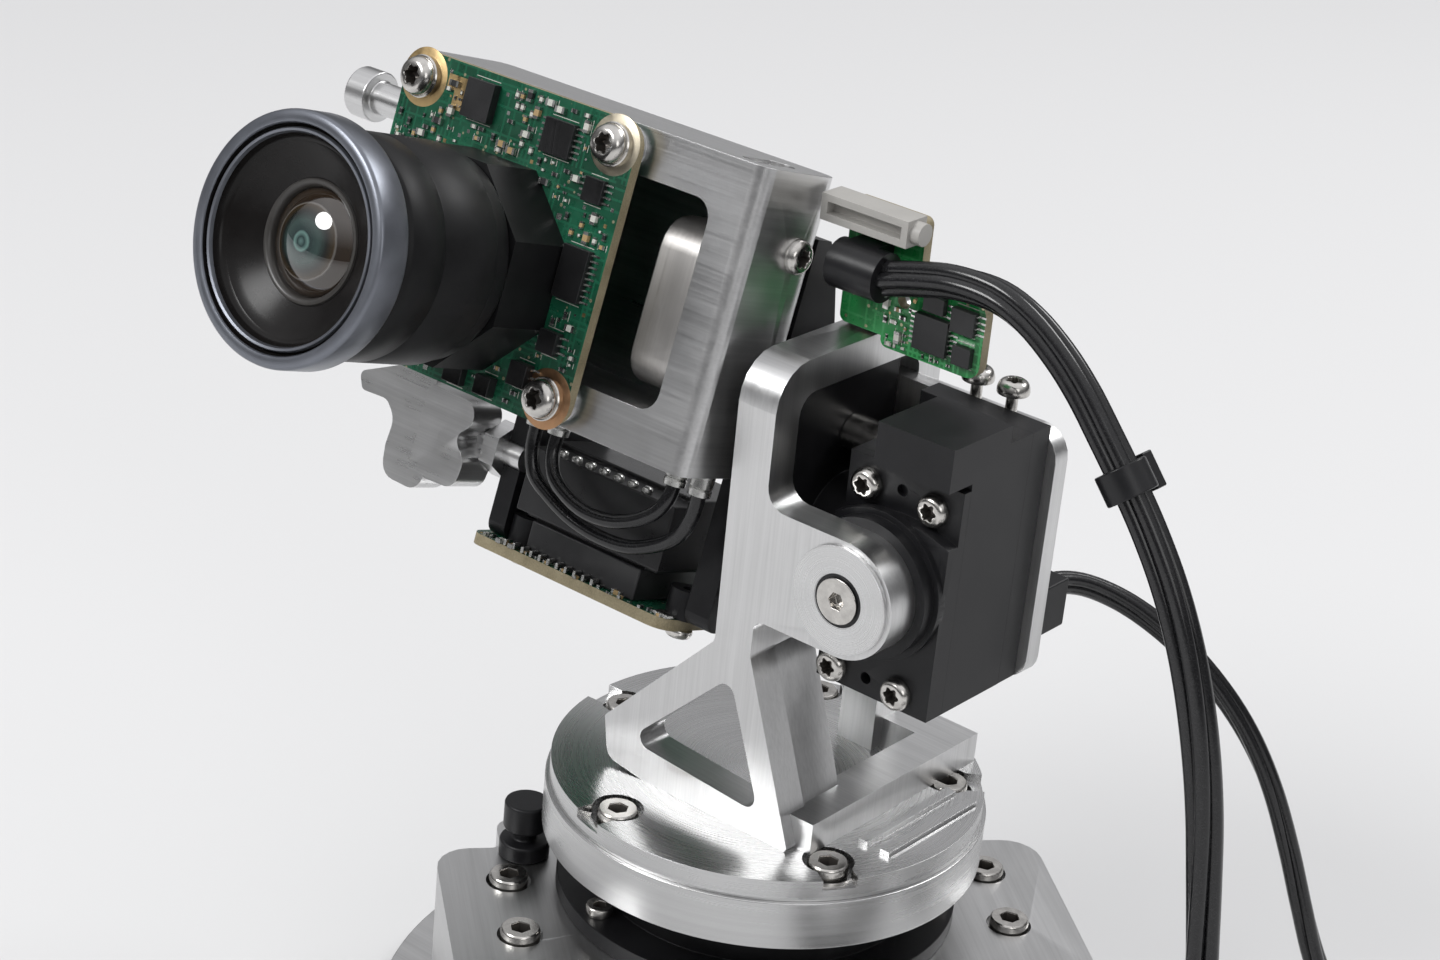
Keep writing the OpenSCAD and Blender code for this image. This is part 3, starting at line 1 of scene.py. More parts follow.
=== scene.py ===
import json
import math
import random

import bmesh
import bpy
from mathutils import Matrix, Vector


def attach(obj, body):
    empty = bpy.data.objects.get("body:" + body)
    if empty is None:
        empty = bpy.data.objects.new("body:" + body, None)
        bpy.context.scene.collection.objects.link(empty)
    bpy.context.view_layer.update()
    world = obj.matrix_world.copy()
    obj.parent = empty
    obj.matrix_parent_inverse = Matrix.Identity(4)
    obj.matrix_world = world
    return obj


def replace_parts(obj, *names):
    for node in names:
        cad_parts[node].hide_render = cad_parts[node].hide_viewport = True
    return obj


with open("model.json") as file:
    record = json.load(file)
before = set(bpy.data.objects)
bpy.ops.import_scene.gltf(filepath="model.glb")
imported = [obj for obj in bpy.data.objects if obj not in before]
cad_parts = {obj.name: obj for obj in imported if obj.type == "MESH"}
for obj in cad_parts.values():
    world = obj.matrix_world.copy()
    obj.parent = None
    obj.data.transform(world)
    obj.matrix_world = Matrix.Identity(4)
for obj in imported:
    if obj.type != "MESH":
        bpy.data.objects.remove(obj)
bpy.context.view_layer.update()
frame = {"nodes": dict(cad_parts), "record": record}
mm = 0.001
print("frame loaded")

# ---- camera, floor and light ----

view = {"place": (216.4, -299.5, 256.6), "azimuth": 37.48, "elevation": 24.25, "roll": 5.7, "lens": 76.55}


def makeCamera():
    a, e, r = (math.radians(view[k]) for k in ("azimuth", "elevation", "roll"))
    back = Vector((math.sin(a) * math.cos(e), -math.cos(a) * math.cos(e), math.sin(e)))
    right = Vector((math.cos(a), math.sin(a), 0))
    up = back.cross(right)
    right, up = right * math.cos(r) + up * math.sin(r), up * math.cos(r) - right * math.sin(r)
    data = bpy.data.cameras.new("camera")
    data.lens = view["lens"]
    data.clip_start = 0.01
    camera = bpy.data.objects.new("camera", data)
    turn = Matrix((right, up, back)).transposed().to_4x4()
    camera.matrix_world = Matrix.Translation(Vector(view["place"]) * mm) @ turn
    bpy.context.collection.objects.link(camera)
    bpy.context.scene.camera = camera


makeCamera()
bpy.context.scene.view_settings.view_transform = "Standard"

# ---- node tools ----


class Wire:
    # A socket that takes part in sums, so that shader maths reads as plain maths
    def __init__(self, lab, socket):
        self.lab = lab
        self.socket = socket

    def maths(self, operation, *others):
        return self.lab.node("Math", {"operation": operation}, dict(enumerate((self,) + others)))

    def __add__(self, other):
        return self.maths("ADD", other)

    def __radd__(self, other):
        return self.maths("ADD", other)

    def __sub__(self, other):
        return self.maths("SUBTRACT", other)

    def __rsub__(self, other):
        return self.lab.node("Math", {"operation": "SUBTRACT"}, {0: other, 1: self})

    def __mul__(self, other):
        return self.maths("MULTIPLY", other)

    def __rmul__(self, other):
        return self.maths("MULTIPLY", other)

    def __truediv__(self, other):
        return self.maths("DIVIDE", other)

    def __pow__(self, other):
        return self.maths("POWER", other)

    def __gt__(self, other):
        return self.maths("GREATER_THAN", other)

    def __lt__(self, other):
        return self.maths("LESS_THAN", other)


class Lab:
    # One material under construction
    def __init__(self, name):
        self.material = bpy.data.materials.new(name)
        self.material.use_nodes = True
        self.tree = self.material.node_tree
        self.shader = self.tree.nodes["Principled BSDF"]

    def node(self, kind, settings=None, inputs=None, out=0):
        made = self.tree.nodes.new("ShaderNode" + kind)
        for key, value in (settings or {}).items():
            if key == "stops":
                ramp = made.color_ramp
                while len(ramp.elements) < len(value):
                    ramp.elements.new(0.5)
                for stop, (place, colour) in zip(ramp.elements, value):
                    stop.position = place
                    stop.color = tuple(colour) + (1,)
            else:
                setattr(made, key, value)
        for key, value in (inputs or {}).items():
            self.feed(made.inputs[key], value)
        return Wire(self, made.outputs[out])

    def feed(self, socket, value):
        if isinstance(value, Wire):
            self.tree.links.new(value.socket, socket)
        elif isinstance(value, (tuple, list)) and len(socket.default_value) == 4:
            socket.default_value = tuple(value) + (1,) if len(value) == 3 else value
        else:
            socket.default_value = value

    def place(self):
        return self.node("TexCoord", out="Object")

    def axes(self, vector):
        split = self.node("SeparateXYZ", None, {0: vector})
        outputs = split.socket.node.outputs
        return [Wire(self, outputs[i]) for i in range(3)]

    def stretched(self, vector, sizes):
        return self.node("VectorMath", {"operation": "MULTIPLY"}, {0: vector, 1: sizes})

    def noise(self, vector, scale=1.0, detail=3.0, rough=0.55):
        inputs = {"Vector": vector, "Scale": scale, "Detail": detail, "Roughness": rough}
        return self.node("TexNoise", None, inputs)

    def spots(self, vector, scale):
        return self.node("TexVoronoi", {"feature": "F1"}, {"Vector": vector, "Scale": scale})

    def range(self, value, low, high, toLow=0.0, toHigh=1.0):
        return self.node("MapRange", None, {0: value, 1: low, 2: high, 3: toLow, 4: toHigh})

    def mix(self, share, a, b):
        return self.node("Mix", {"data_type": "RGBA"}, {0: share, 6: a, 7: b}, 2)

    def bump(self, height, depth=0.0001, strength=1.0):
        return self.node("Bump", None, {"Height": height, "Distance": depth, "Strength": strength})

    def coat(self, **inputs):
        for key, value in inputs.items():
            self.feed(self.shader.inputs[key.replace("_", " ")], value)
        return self.material


def grey(level, warm=0.0):
    return (level * (1 + warm), level, level * (1 - warm))

# ---- finishes ----

def brushed(name, tone=0.62, rough=0.3, along=0, fine=5200, warm=0.0, blotch=0.1, grain=1.0):
    # Fine parallel scratches along one axis, or across it on faces that look along that axis
    lab = Lab(name)
    spot = lab.place()

    def scratches(axis):
        sizes = [fine * 0.6] * 3
        sizes[axis] = fine / 90
        wide = [fine * 0.12] * 3
        wide[axis] = fine / 200
        narrow = lab.noise(lab.stretched(spot, sizes), 1.0, 2.0)
        return narrow * 0.55 + lab.noise(lab.stretched(spot, wide), 1.0, 2.0) * 0.45

    facing = lab.axes(lab.node("TexCoord", out="Normal"))[along].maths("ABSOLUTE")
    share = lab.range(facing, 0.6, 0.8)
    height = scratches(along) * (1 - share) + scratches((along + 1) % 3) * share
    cloud = lab.noise(spot, 70.0, 4.0, 0.6)
    shade = lab.range(height * 0.75 + cloud * 0.25, 0.32, 0.68)
    low, high = grey(tone * (1 - blotch * 1.4), warm), grey(min(tone * (1 + blotch), 1), warm)
    return lab.coat(
        Base_Color=lab.mix(shade, low, high),
        Metallic=1.0,
        Roughness=lab.range(cloud * 0.5 + height * 0.5, 0.25, 0.75, rough * 0.8, rough * 1.3),
        Normal=lab.bump(height, 0.00002 * grain, 0.6),
    )


def turned(name, tone=0.7, rough=0.24, fine=4200, warm=0.0, depth=0.000004):
    # Rings round a vertical axis, as a lathe leaves them
    lab = Lab(name)
    spot = lab.place()
    x, y, z = lab.axes(spot)
    reach = (x * x + y * y) ** 0.5
    rings = lab.noise(lab.node("CombineXYZ", None, {0: reach * fine, 1: z * (fine * 0.35)}), 1.0, 2.0, 0.5)
    cloud = lab.noise(spot, 60.0, 3.0, 0.5)
    level = rings * 0.6 + cloud * 0.4
    return lab.coat(
        Base_Color=lab.mix(lab.range(level, 0.3, 0.7), grey(tone * 0.88, warm), grey(tone * 1.06, warm)),
        Metallic=1.0,
        Roughness=lab.range(level, 0.25, 0.75, rough * 0.85, rough * 1.2),
        Anisotropic=0.7,
        Normal=lab.bump(rings, depth, 0.5),
    )


def moulded(name, colour=(0.012, 0.012, 0.013), rough=0.42, grain=9000, depth=0.00002,
            metallic=0.0, spread=0.5, shine=0.5):
    # Moulded or anodised surface with a fine texture and slight rubbing
    lab = Lab(name)
    spot = lab.place()
    pores = lab.noise(spot, grain, 2.0)
    cloud = lab.noise(spot, 140.0, 5.0, 0.65)
    light = tuple(min(c * (1 + spread) + 0.004, 1) for c in colour)
    rub = lab.range(cloud, 0.3, 0.75)
    return lab.coat(
        Base_Color=lab.mix(rub, colour, light),
        Metallic=metallic,
        Roughness=lab.range(cloud * 0.6 + pores * 0.4, 0.3, 0.7, rough * 0.85, rough * 1.2),
        Specular_IOR_Level=shine,
        Normal=lab.bump(pores, depth, 0.6),
    )


def solderMask(name, colour=(0.004, 0.052, 0.026), lit=(0.012, 0.12, 0.062)):
    # Green lacquer over copper tracks, with rows of small plated holes
    lab = Lab(name)
    spot = lab.place()
    # Straight tracks: thin lines that switch on and off in long blocks, two ways
    x, y, z = lab.axes(spot)
    drawn = None
    lanes, blocks = 1400.0, 160.0
    for across, along in ((x, z), (z, x)):
        lane = (across * lanes).maths("FRACT")
        cell = lab.node("CombineXYZ", None,
                        {0: (across * lanes).maths("FLOOR"), 1: (along * blocks).maths("FLOOR"), 2: 3.0})
        on = lab.node("TexWhiteNoise", {"noise_dimensions": "3D"}, {"Vector": cell}) > 0.62
        line = (lane > 0.3) * (lane < 0.72) * on
        drawn = line if drawn is None else drawn.maths("MAXIMUM", line)
    holes = lab.range(lab.spots(spot, 620.0), 0.16, 0.12)
    cloud = lab.noise(spot, 120.0, 2.0)
    pour = lab.mix(lab.range(cloud, 0.4, 0.6), colour, tuple(c * 1.7 for c in colour))
    ground = lab.mix(drawn * 0.7, pour, lit)
    return lab.coat(
        Base_Color=lab.mix(holes, ground, (0.5, 0.46, 0.3)),
        Metallic=holes * 0.8,
        Roughness=lab.range(lab.noise(spot, 600.0), 0.3, 0.7, 0.24, 0.36),
        Normal=lab.bump(drawn + holes * 0.5, 0.00003, 0.6),
    )


def layered(name):
    # Cut edge of a circuit board: pale glass and resin in thin layers
    lab = Lab(name)
    spot = lab.place()
    weave = lab.noise(spot, 4000.0, 3.0)
    burn = lab.noise(spot, 300.0, 3.0)
    return lab.coat(
        Base_Color=lab.mix(lab.range(weave * 0.5 + burn * 0.5, 0.3, 0.7),
                           (0.16, 0.13, 0.07), (0.36, 0.31, 0.2)),
        Roughness=lab.range(weave, 0.3, 0.7, 0.5, 0.75),
        Normal=lab.bump(weave, 0.00005, 0.7),
    )


def plated(name, colour=(0.66, 0.45, 0.2), rough=0.3):
    lab = Lab(name)
    spot = lab.place()
    cloud = lab.noise(spot, 700.0, 4.0)
    dark = tuple(c * 0.72 for c in colour)
    return lab.coat(
        Base_Color=lab.mix(lab.range(cloud, 0.3, 0.7), dark, colour),
        Metallic=1.0,
        Roughness=lab.range(cloud, 0.3, 0.7, rough * 0.8, rough * 1.3),
        Normal=lab.bump(cloud, 0.00002, 0.5),
    )


def cordSheath(name):
    # Smooth black sheath with faint ripples where it bends
    lab = Lab(name)
    spot = lab.place()
    ripple = lab.noise(spot, 260.0, 3.0, 0.6)
    dust = lab.noise(spot, 5000.0, 2.0)
    return lab.coat(
        Base_Color=lab.mix(lab.range(dust, 0.5, 0.8), (0.008, 0.008, 0.009), (0.03, 0.03, 0.032)),
        Roughness=lab.range(ripple, 0.3, 0.7, 0.13, 0.24),
        Normal=lab.bump(ripple, 0.00008, 0.3),
    )


def lensFace(name, edge=7.4):
    # Coated front element: thin rings of teal, amber and grey reflection round the middle, painted into the
    # glass's colour
    lab = Lab(name)
    x, y, z = lab.axes(lab.place())
    reach = (x * x + y * y) ** 0.5 * 1000
    swirl = lab.noise(lab.stretched(lab.place(), (260.0, 420.0, 200.0)), 1.0, 3.0)
    # painted reflection: bright and dark rings by distance from the middle
    stops = [
        (0.0, (0.10, 0.17, 0.16)), (0.08, (0.02, 0.04, 0.04)), (0.15, (0.12, 0.21, 0.19)),
        (0.19, (0.02, 0.035, 0.035)), (0.36, (0.035, 0.06, 0.055)), (0.5, (0.012, 0.014, 0.013)),
        (0.62, (0.04, 0.026, 0.012)), (0.645, (0.14, 0.13, 0.12)), (0.67, (0.022, 0.015, 0.01)),
        (0.85, (0.03, 0.019, 0.011)), (1.0, (0.008, 0.006, 0.005))]
    rings = lab.node("ValToRGB", {"stops": stops}, {0: reach / edge + (swirl - 0.5) * 0.06})
    return lab.coat(Base_Color=rings, Roughness=0.04, Coat_Weight=1.0, Coat_Roughness=0.02,
                    Specular_IOR_Level=0.7)


finish = {
    "satin": brushed("satinAluminium", 0.54, 0.34, 0, 4200),
    "housing": brushed("brushedHousing", 0.64, 0.3, 0, 4600),
    "yoke": brushed("brushedYoke", 0.64, 0.32, 2, 4600),
    "grained": brushed("grainedBlock", 0.5, 0.36, 2, 3600, 0.03),
    "disc": turned("turnedDisc", 0.58, 0.27),
    "ringBand": turned("turnedRing", 0.55, 0.25),
    "bright": brushed("brightAluminium", 0.62, 0.28, 0, 5000, grain=0.6),
    "eye": turned("turnedEye", 0.66, 0.26, depth=0.000006),
    "steel": plated("screwSteel", (0.66, 0.64, 0.61), 0.2),
    # darker steel inside the screws' recesses: painted shade
    "recess": moulded("screwRecessPaintedShade", (0.14, 0.13, 0.12), 0.32, 9000, 0.00001, metallic=0.9),
    "race": turned("groundSteel", 0.6, 0.14),
    "bronze": plated("bronzeBush", (0.5, 0.33, 0.14), 0.35),
    "plastic": moulded("blackCase", (0.006, 0.006, 0.007), 0.4, shine=0.3),
    "plasticFine": moulded("blackCaseSmooth", (0.006, 0.006, 0.007), 0.3, 12000, 0.00001, shine=0.35),
    "anodised": moulded("blackAnodised", (0.007, 0.007, 0.008), 0.36, 11000, 0.000015, metallic=0.2, shine=0.3),
    "barrel": moulded("barrelBlack", (0.0035, 0.0035, 0.004), 0.44, 12000, 0.00001, shine=0.22),
    "bezel": moulded("bezelSatin", (0.17, 0.18, 0.205), 0.34, 12000, 0.000008, metallic=0.85, spread=0.2),
    "cone": moulded("coneBlack", (0.005, 0.0042, 0.004), 0.24, 12000, 0.000004, spread=0.3, shine=0.2),
    "rim": moulded("rimBlack", (0.03, 0.028, 0.026), 0.3, 12000, 0.000004),
    "grey": moulded("greyPlastic", (0.36, 0.35, 0.33), 0.42, 6000, spread=0.12),
    "module": moulded("modulePotting", (0.016, 0.016, 0.017), 0.3, 7000, 0.00003),
    "board": solderMask("greenBoard"),
    "rearBoard": solderMask("brightGreenBoard", (0.012, 0.16, 0.04), (0.06, 0.36, 0.12)),
    "boardEdge": layered("boardEdge"),
    "gold": plated("goldPad", (0.5, 0.36, 0.18), 0.4),
    "paleTin": plated("tinPad", (0.6, 0.54, 0.42), 0.4),
    "copper": plated("copperPad", (0.5, 0.29, 0.16), 0.4),
    "tin": plated("solderTin", (0.66, 0.66, 0.64), 0.25),
    "silk": moulded("whitePrint", (0.55, 0.55, 0.5), 0.5, 9000, spread=0.1),
    "chip": moulded("chipBlack", (0.013, 0.013, 0.014), 0.36, 9000, 0.00002),
    "ceramic": moulded("ceramicTan", (0.36, 0.25, 0.12), 0.4, 9000, spread=0.2),
    "cord": cordSheath("cordSheath"),
    "glass": lensFace("glassPaintedReflection"),
}
print("finishes made")

# ---- places ----

headPlace = (
    Matrix.Translation((0, 0.0015, 0.0868))
    @ Matrix.Rotation(math.radians(-16.6), 4, "X")
    @ Matrix.Translation((-0.0405, -0.0297, 0.0237))
)
basePlace = Matrix.Rotation(math.radians(-40), 4, "Z")
discTop = 48
stillPlace = Matrix.Identity(4)
bodyOf = {n: body for body, names in frame["record"]["behaviour"]["bodies"].items() for n in names}


def addObject(name, mesh, place=stillPlace, body="pan", material=None):
    piece = bpy.data.objects.new(name, mesh)
    bpy.context.collection.objects.link(piece)
    piece.matrix_world = place
    if material and not mesh.materials:
        mesh.materials.append(material)
    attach(piece, body)
    return piece


def softenEdges(piece, width, segments=2, angle=28):
    bevel = piece.modifiers.new("edges", "BEVEL")
    bevel.width = width * mm
    bevel.segments = segments
    bevel.limit_method = "ANGLE"
    bevel.angle_limit = math.radians(angle)
    bevel.use_clamp_overlap = True
    bevel.harden_normals = True
    return bevel


def smoothShade(mesh, angle=30):
    mesh.polygons.foreach_set("use_smooth", [True] * len(mesh.polygons))
    mesh.set_sharp_from_angle(angle=math.radians(angle))


def dressed(node, material, edge=0.2, place=stillPlace, name=None, drop=None):
    # The solid's own mesh with its facets joined, its edges eased and a finish put on
    source = frame["nodes"][node].data
    shape = bmesh.new()
    shape.from_mesh(source)
    bmesh.ops.remove_doubles(shape, verts=shape.verts, dist=2e-6)
    bmesh.ops.dissolve_limit(shape, angle_limit=math.radians(0.8), verts=shape.verts, edges=shape.edges)
    shape.transform(place.inverted())
    mesh = bpy.data.meshes.new(name or node + "Skin")
    shape.to_mesh(mesh)
    shape.free()
    smoothShade(mesh)
    piece = addObject(name or node + "Skin", mesh, place, bodyOf[node], material)
    if edge:
        softenEdges(piece, edge)
    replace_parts(piece, node)
    return piece


def islands(node):
    # The separate solids of a node, each as a list of points
    shape = bmesh.new()
    shape.from_mesh(frame["nodes"][node].data)
    bmesh.ops.remove_doubles(shape, verts=shape.verts, dist=2e-6)
    shape.verts.ensure_lookup_table()
    seen, found = set(), []
    for start in shape.verts:
        if start.index in seen:
            continue
        group, front = [], [start]
        seen.add(start.index)
        while front:
            v = front.pop()
            group.append(v.co.copy())
            for e in v.link_edges:
                w = e.other_vert(v)
                if w.index not in seen:
                    seen.add(w.index)
                    front.append(w)
        found.append(group)
    shape.free()
    return found


def shaped(shape, name, material, body, place=stillPlace, edge=0, angle=35):
    mesh = bpy.data.meshes.new(name)
    bmesh.ops.recalc_face_normals(shape, faces=shape.faces)
    shape.to_mesh(mesh)
    shape.free()
    smoothShade(mesh, angle)
    piece = addObject(name, mesh, place, body, material)
    if edge:
        softenEdges(piece, edge, 1)
    return piece


def latheInto(shape, rings, place=stillPlace, around=40, materials=None, capped=False):
    # Rings of (radius or outline, height) in millimetres, joined into a skin about local Z
    made = []
    for radius, height in rings:
        made.append([shape.verts.new(place @ (Vector((
            (radius(a) if callable(radius) else radius) * math.cos(a),
            (radius(a) if callable(radius) else radius) * math.sin(a), height)) * mm))
            for a in (2 * math.pi * k / around for k in range(around))])
    for i, (a, b) in enumerate(zip(made, made[1:])):
        for k in range(around):
            face = shape.faces.new((a[k], a[(k + 1) % around], b[(k + 1) % around], b[k]))
            if materials:
                face.material_index = materials[i]
    if capped:
        shape.faces.new(made[-1]).material_index = materials[-1] if materials else 0


def boxInto(shape, centre, size):
    place = Matrix.LocRotScale(Vector(centre) * mm, None, Vector(size) * mm)
    bmesh.ops.create_cube(shape, size=1, matrix=place)


def lobed(size):
    return lambda a: size * (0.86 + 0.14 * math.cos(6 * a))


def sixSided(size):
    return lambda a: size * math.cos(math.pi / 6) / math.cos(a % (math.pi / 3) - math.pi / 6)


def headInto(shape, place, r, h, kind, length=0, shank=0):
    # One screw, its head above local Z = 0 and its shank below
    recess = (lobed if kind == "button" else sixSided)(r * (0.53 if kind == "button" else 0.5))
    rings = [(shank * 0.8, -length), (shank, -length + 0.3), (shank, 0)] if shank else []
    if kind == "button":
        rings += [(r * 0.97, 0), (r, h * 0.1), (r, h * 0.3), (r * 0.97, h * 0.5), (r * 0.9, h * 0.74),
                  (r * 0.79, h * 0.91), (r * 0.66, h)]
    else:
        rings += [(r * 0.96, 0), (r, h * 0.06), (r, h * 0.84), (r * 0.97, h * 0.93), (r * 0.9, h)]
    rings += [(lambda a: recess(a) * 1.08, h), (recess, h * 0.93)]
    outside = len(rings) - 1
    # the recess wall and floor take the second material, the darker steel of painted shade
    rings += [(lambda a: recess(a) * 0.93, -h * 0.1), (r * 0.16, -h * 0.2)]
    latheInto(shape, rings, place, 48, [0] * outside + [1, 1], capped=True)


def detailedScrews(node, kind, place=stillPlace, collar=None):
    # Every solid of the node drawn again as a real screw; a solid with no head stays a plain sleeve
    shape = bmesh.new()
    for group in islands(node):
        points = [(place.inverted() @ p) / mm for p in group]
        low = [min(p[k] for p in points) for k in range(3)]
        high = [max(p[k] for p in points) for k in range(3)]
        size = [b - a for a, b in zip(low, high)]
        k = min(range(3), key=lambda i: abs(size[(i + 1) % 3] - size[(i + 2) % 3]))
        centre = Vector([(a + b) / 2 for a, b in zip(low, high)])
        far = lambda p: math.hypot(*[p[i] - centre[i] for i in range(3) if i != k])
        r = max(far(p) for p in points)
        wide = [p[k] for p in points if far(p) > r * 0.93]
        ends = [max(far(p) for p in points if abs(p[k] - e) < 0.02) for e in (low[k], high[k])]
        up = ends[1] >= ends[0]
        base, top = (min(wide), high[k]) if up else (max(wide), low[k])
        centre[k] = base
        ahead = Vector([(1 if up else -1) if i == k else 0 for i in range(3)])
        turn = Matrix.Translation(centre * mm) @ ahead.to_track_quat("Z", "Y").to_matrix().to_4x4()
        length = abs(base - (low[k] if up else high[k]))
        if length < 0.1:
            h = abs(top - base)
            sleeve = [(0.2, 0), (r * 0.96, 0), (r, 0.1), (r, h - 0.1), (r * 0.96, h), (0.2, h)]
            latheInto(shape, sleeve, turn, 40, capped=True)
        elif collar:
            headRadius, thick = collar
            washer = [(r * 0.7, 0), (r * 0.97, 0), (r, 0.12), (r, thick - 0.15), (r * 0.95, thick),
                      (r * 0.6, thick)]
            latheInto(shape, washer, turn, 48)
            lifted = turn @ Matrix.Translation((0, 0, thick * mm))
            headInto(shape, lifted, headRadius, abs(top - base) - thick, kind, length, min(ends))
        else:
            headInto(shape, turn, r, abs(top - base), kind, length, min(ends))
    piece = shaped(shape, node + "Detail", finish["steel"], bodyOf[node], place)
    # the second material darkens the recesses: painted shade
    piece.data.materials.append(finish["recess"])
    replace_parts(piece, node)


def edged(piece, axis, material):
    # The cut edge of a board gets its own layered finish
    mesh = piece.data
    mesh.materials.append(material)
    for face in mesh.polygons:
        if abs(face.normal[axis]) < 0.5:
            face.material_index = 1
    return piece

# ---- cords ----

harness = {
    "strand": 2.2, "strands": 4, "spread": 1.32, "twist": 1.4, "turnR": 30.0, "d": 5.0, "heading": 0.0,
    "route": [(10.5, -1, 123.4), (15, -1, 124.8), (21, -0.9, 126.2), (27, -0.7, 126.2),
              (32, -0.5, 124.4), (36.5, -0.2, 121.3), (40.5, 0, 117.6), (44.5, 0, 113.2),
              (48.5, 0, 108.6), (52.5, 0, 103.6), (56.3, 0, 98), (59.5, 0, 92), (62.2, 0, 85.5),
              (64.6, 0, 78), (66.5, 0, 70), (68, 0, 61), (69.5, 0, 51), (71, 0, 41), (72.4, 0, 31.5),
              (74.6, 0, 22.5), (78.4, 0, 14.4), (84, 0, 8), (91, 0, 4.2), (99, 0, 2.8), (107, 0, 2.5)],
}
servoLead = {
    "strand": 1.8, "strands": 3, "spread": 0.85, "twist": 2.0, "turnR": 20.0, "d": 3.6,
    "heading": math.degrees(math.atan2(3.6, 8)),
    "route": [(26.5, 20.3, 78.9), (26.8, 25, 78.7), (28.8, 30, 77.2), (32.8, 35, 74), (38, 39.4, 69.2),
              (43, 43, 63.4), (47.6, 46, 56.6), (51.6, 48.4, 48.6), (55, 50.4, 39.6), (58, 52.2, 30.4),
              (61, 54, 21.6), (65, 56.2, 13.4), (70.4, 59, 7), (77.4, 62.4, 3.2), (85, 66, 2),
              (93, 69.6, 1.8)],
}


def coiledRoute(cord):
    # The route, then a turn and three quarters in two lanes, then the short tail to the plug
    route = [Vector(p) for p in cord["route"]]
    r, d, heading = cord["turnR"], cord["d"], math.radians(cord["heading"])
    end = route[-1].copy()
    middle = Matrix.Translation((0, -r - d / 2, 0))
    place = Matrix.Translation((end.x, end.y, 0)) @ Matrix.Rotation(heading, 4, "Z") @ middle
    for i in range(1, 64):
        turn = i * 10
        ease = min(max((turn - 270) / 90, 0), 1)
        lane = r + d / 2 - d * ease * ease * (3 - 2 * ease)
        angle = math.radians(90 - turn)
        route.append(place @ Vector((lane * math.cos(angle), lane * math.sin(angle), d / 2)))
    tail = 2.4 * d
    tailX = tail - r + d / 2
    for a in (157, 135, 112, 90):
        a = math.radians(a)
        route.append(place @ Vector((tailX + tail * math.cos(a), tail * math.sin(a), d / 2)))
    route.append(place @ Vector((tailX + d, tail, d / 2)))
    return route


def smoothLine(points, step=1.1):
    # Catmull-Rom line through the points, at even steps
    fine = []
    n = len(points)
    for i in range(n - 1):
        p0, p1, p2, p3 = points[max(i - 1, 0)], points[i], points[i + 1], points[min(i + 2, n - 1)]
        count = max(2, int((p2 - p1).length / step))
        for k in range(count):
            t = k / count
            fine.append(0.5 * (2 * p1 + (p2 - p0) * t + (2 * p0 - 5 * p1 + 4 * p2 - p3) * t * t
                               + (3 * p1 - p0 - 3 * p2 + p3) * t ** 3))
    fine.append(points[-1])
    return fine


def carriedFrames(line, first=Vector((0, 0, 1))):
    # Frames along a line that turn as little as they can
    frames, side = [], None
    for i, p in enumerate(line):
        ahead = (line[min(i + 1, len(line) - 1)] - line[max(i - 1, 0)]).normalized()
        if side is None:
            side = first.cross(ahead) if first.cross(ahead).length > 0.1 else Vector((1, 0, 0))
        side = (side - ahead * side.dot(ahead)).normalized()
        frames.append((p, side, ahead.cross(side)))
    return frames


def sweepTube(shape, frames, radius, around=10, offset=lambda i: (0, 0), capped=True):
    rings = []
    for i, (p, side, up) in enumerate(frames):
        x, y = offset(i)
        centre = p + side * x + up * y
        rings.append([shape.verts.new((centre + (side * math.cos(a) + up * math.sin(a)) * radius) * mm)
                      for a in (2 * math.pi * k / around for k in range(around))])
    for a, b in zip(rings, rings[1:]):
        for k in range(around):
            shape.faces.new((a[k], a[(k + 1) % around], b[(k + 1) % around], b[k]))
    if capped:
        shape.faces.new(reversed(rings[0]))
        shape.faces.new(rings[-1])


def makeCord(name, cord, nodes, body="pan"):
    line = smoothLine(coiledRoute(cord))
    frames = carriedFrames(line)
    length = sum((b - a).length for a, b in zip(line, line[1:]))
    shape = bmesh.new()
    count = cord["strands"]
    for s in range(count):
        start = 2 * math.pi * s / count

        def offset(i, start=start):
            turn = start + 2 * math.pi * cord["twist"] * i / len(frames) + 0.25 * math.sin(i * 0.05 + start)
            squeeze = cord["spread"] * (1 + 0.05 * math.sin(i * 0.11 + 2 * start))
            return squeeze * math.cos(turn), squeeze * math.sin(turn)

        sweepTube(shape, frames, cord["strand"] / 2, 10, offset)
    mesh = bpy.data.meshes.new(name)
    shape.to_mesh(mesh)
    shape.free()
    smoothShade(mesh, 50)
    piece = addObject(name, mesh, stillPlace, body, finish["cord"])
    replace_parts(piece, *nodes)
    line[0] * mm
    [p * mm for p in line]
    print(name, round(length), "mm")
    return piece


harnessPlug = dressed("harness_plug", finish["grey"], 0.35)
leadPlug = dressed("lead_plug", finish["grey"], 0.3)
makeCord("cableHarness", harness, ["harness", "harness_coil"])
makeCord("servoLead", servoLead, ["servo_lead", "lead_coil"])
dressed("harness_tie", finish["plasticFine"], 0.25)
print("cords laid")

# ---- base and turntable ----

# node: finish, eased edge in millimetres, place
baseSkins = {
    "base_plate": ("satin", 0.6, stillPlace),
    "base_block": ("satin", 0.9, basePlace),
    "pan_servo_case": ("plastic", 0.5, basePlace),
    "pan_servo_lid": ("plastic", 0.5, basePlace),
    "bearing_housing": ("anodised", 0.4, basePlace),
    "lock_knob": ("plastic", 0.4, basePlace),
    "turntable_ring": ("ringBand", 0.45, stillPlace),
    "turntable_disc": ("disc", 0.35, stillPlace),
    "pan_horn": ("plastic", 0.2, stillPlace),
    "bearing_outer_race": ("race", 0.15, stillPlace),
    "bearing_balls": ("race", 0, stillPlace),
    "bearing_inner_race": ("race", 0.15, stillPlace),
}
for node, (look, edge, place) in baseSkins.items():
    dressed(node, finish[look], edge, place)
print("base dressed")

# ---- yoke and servo ----

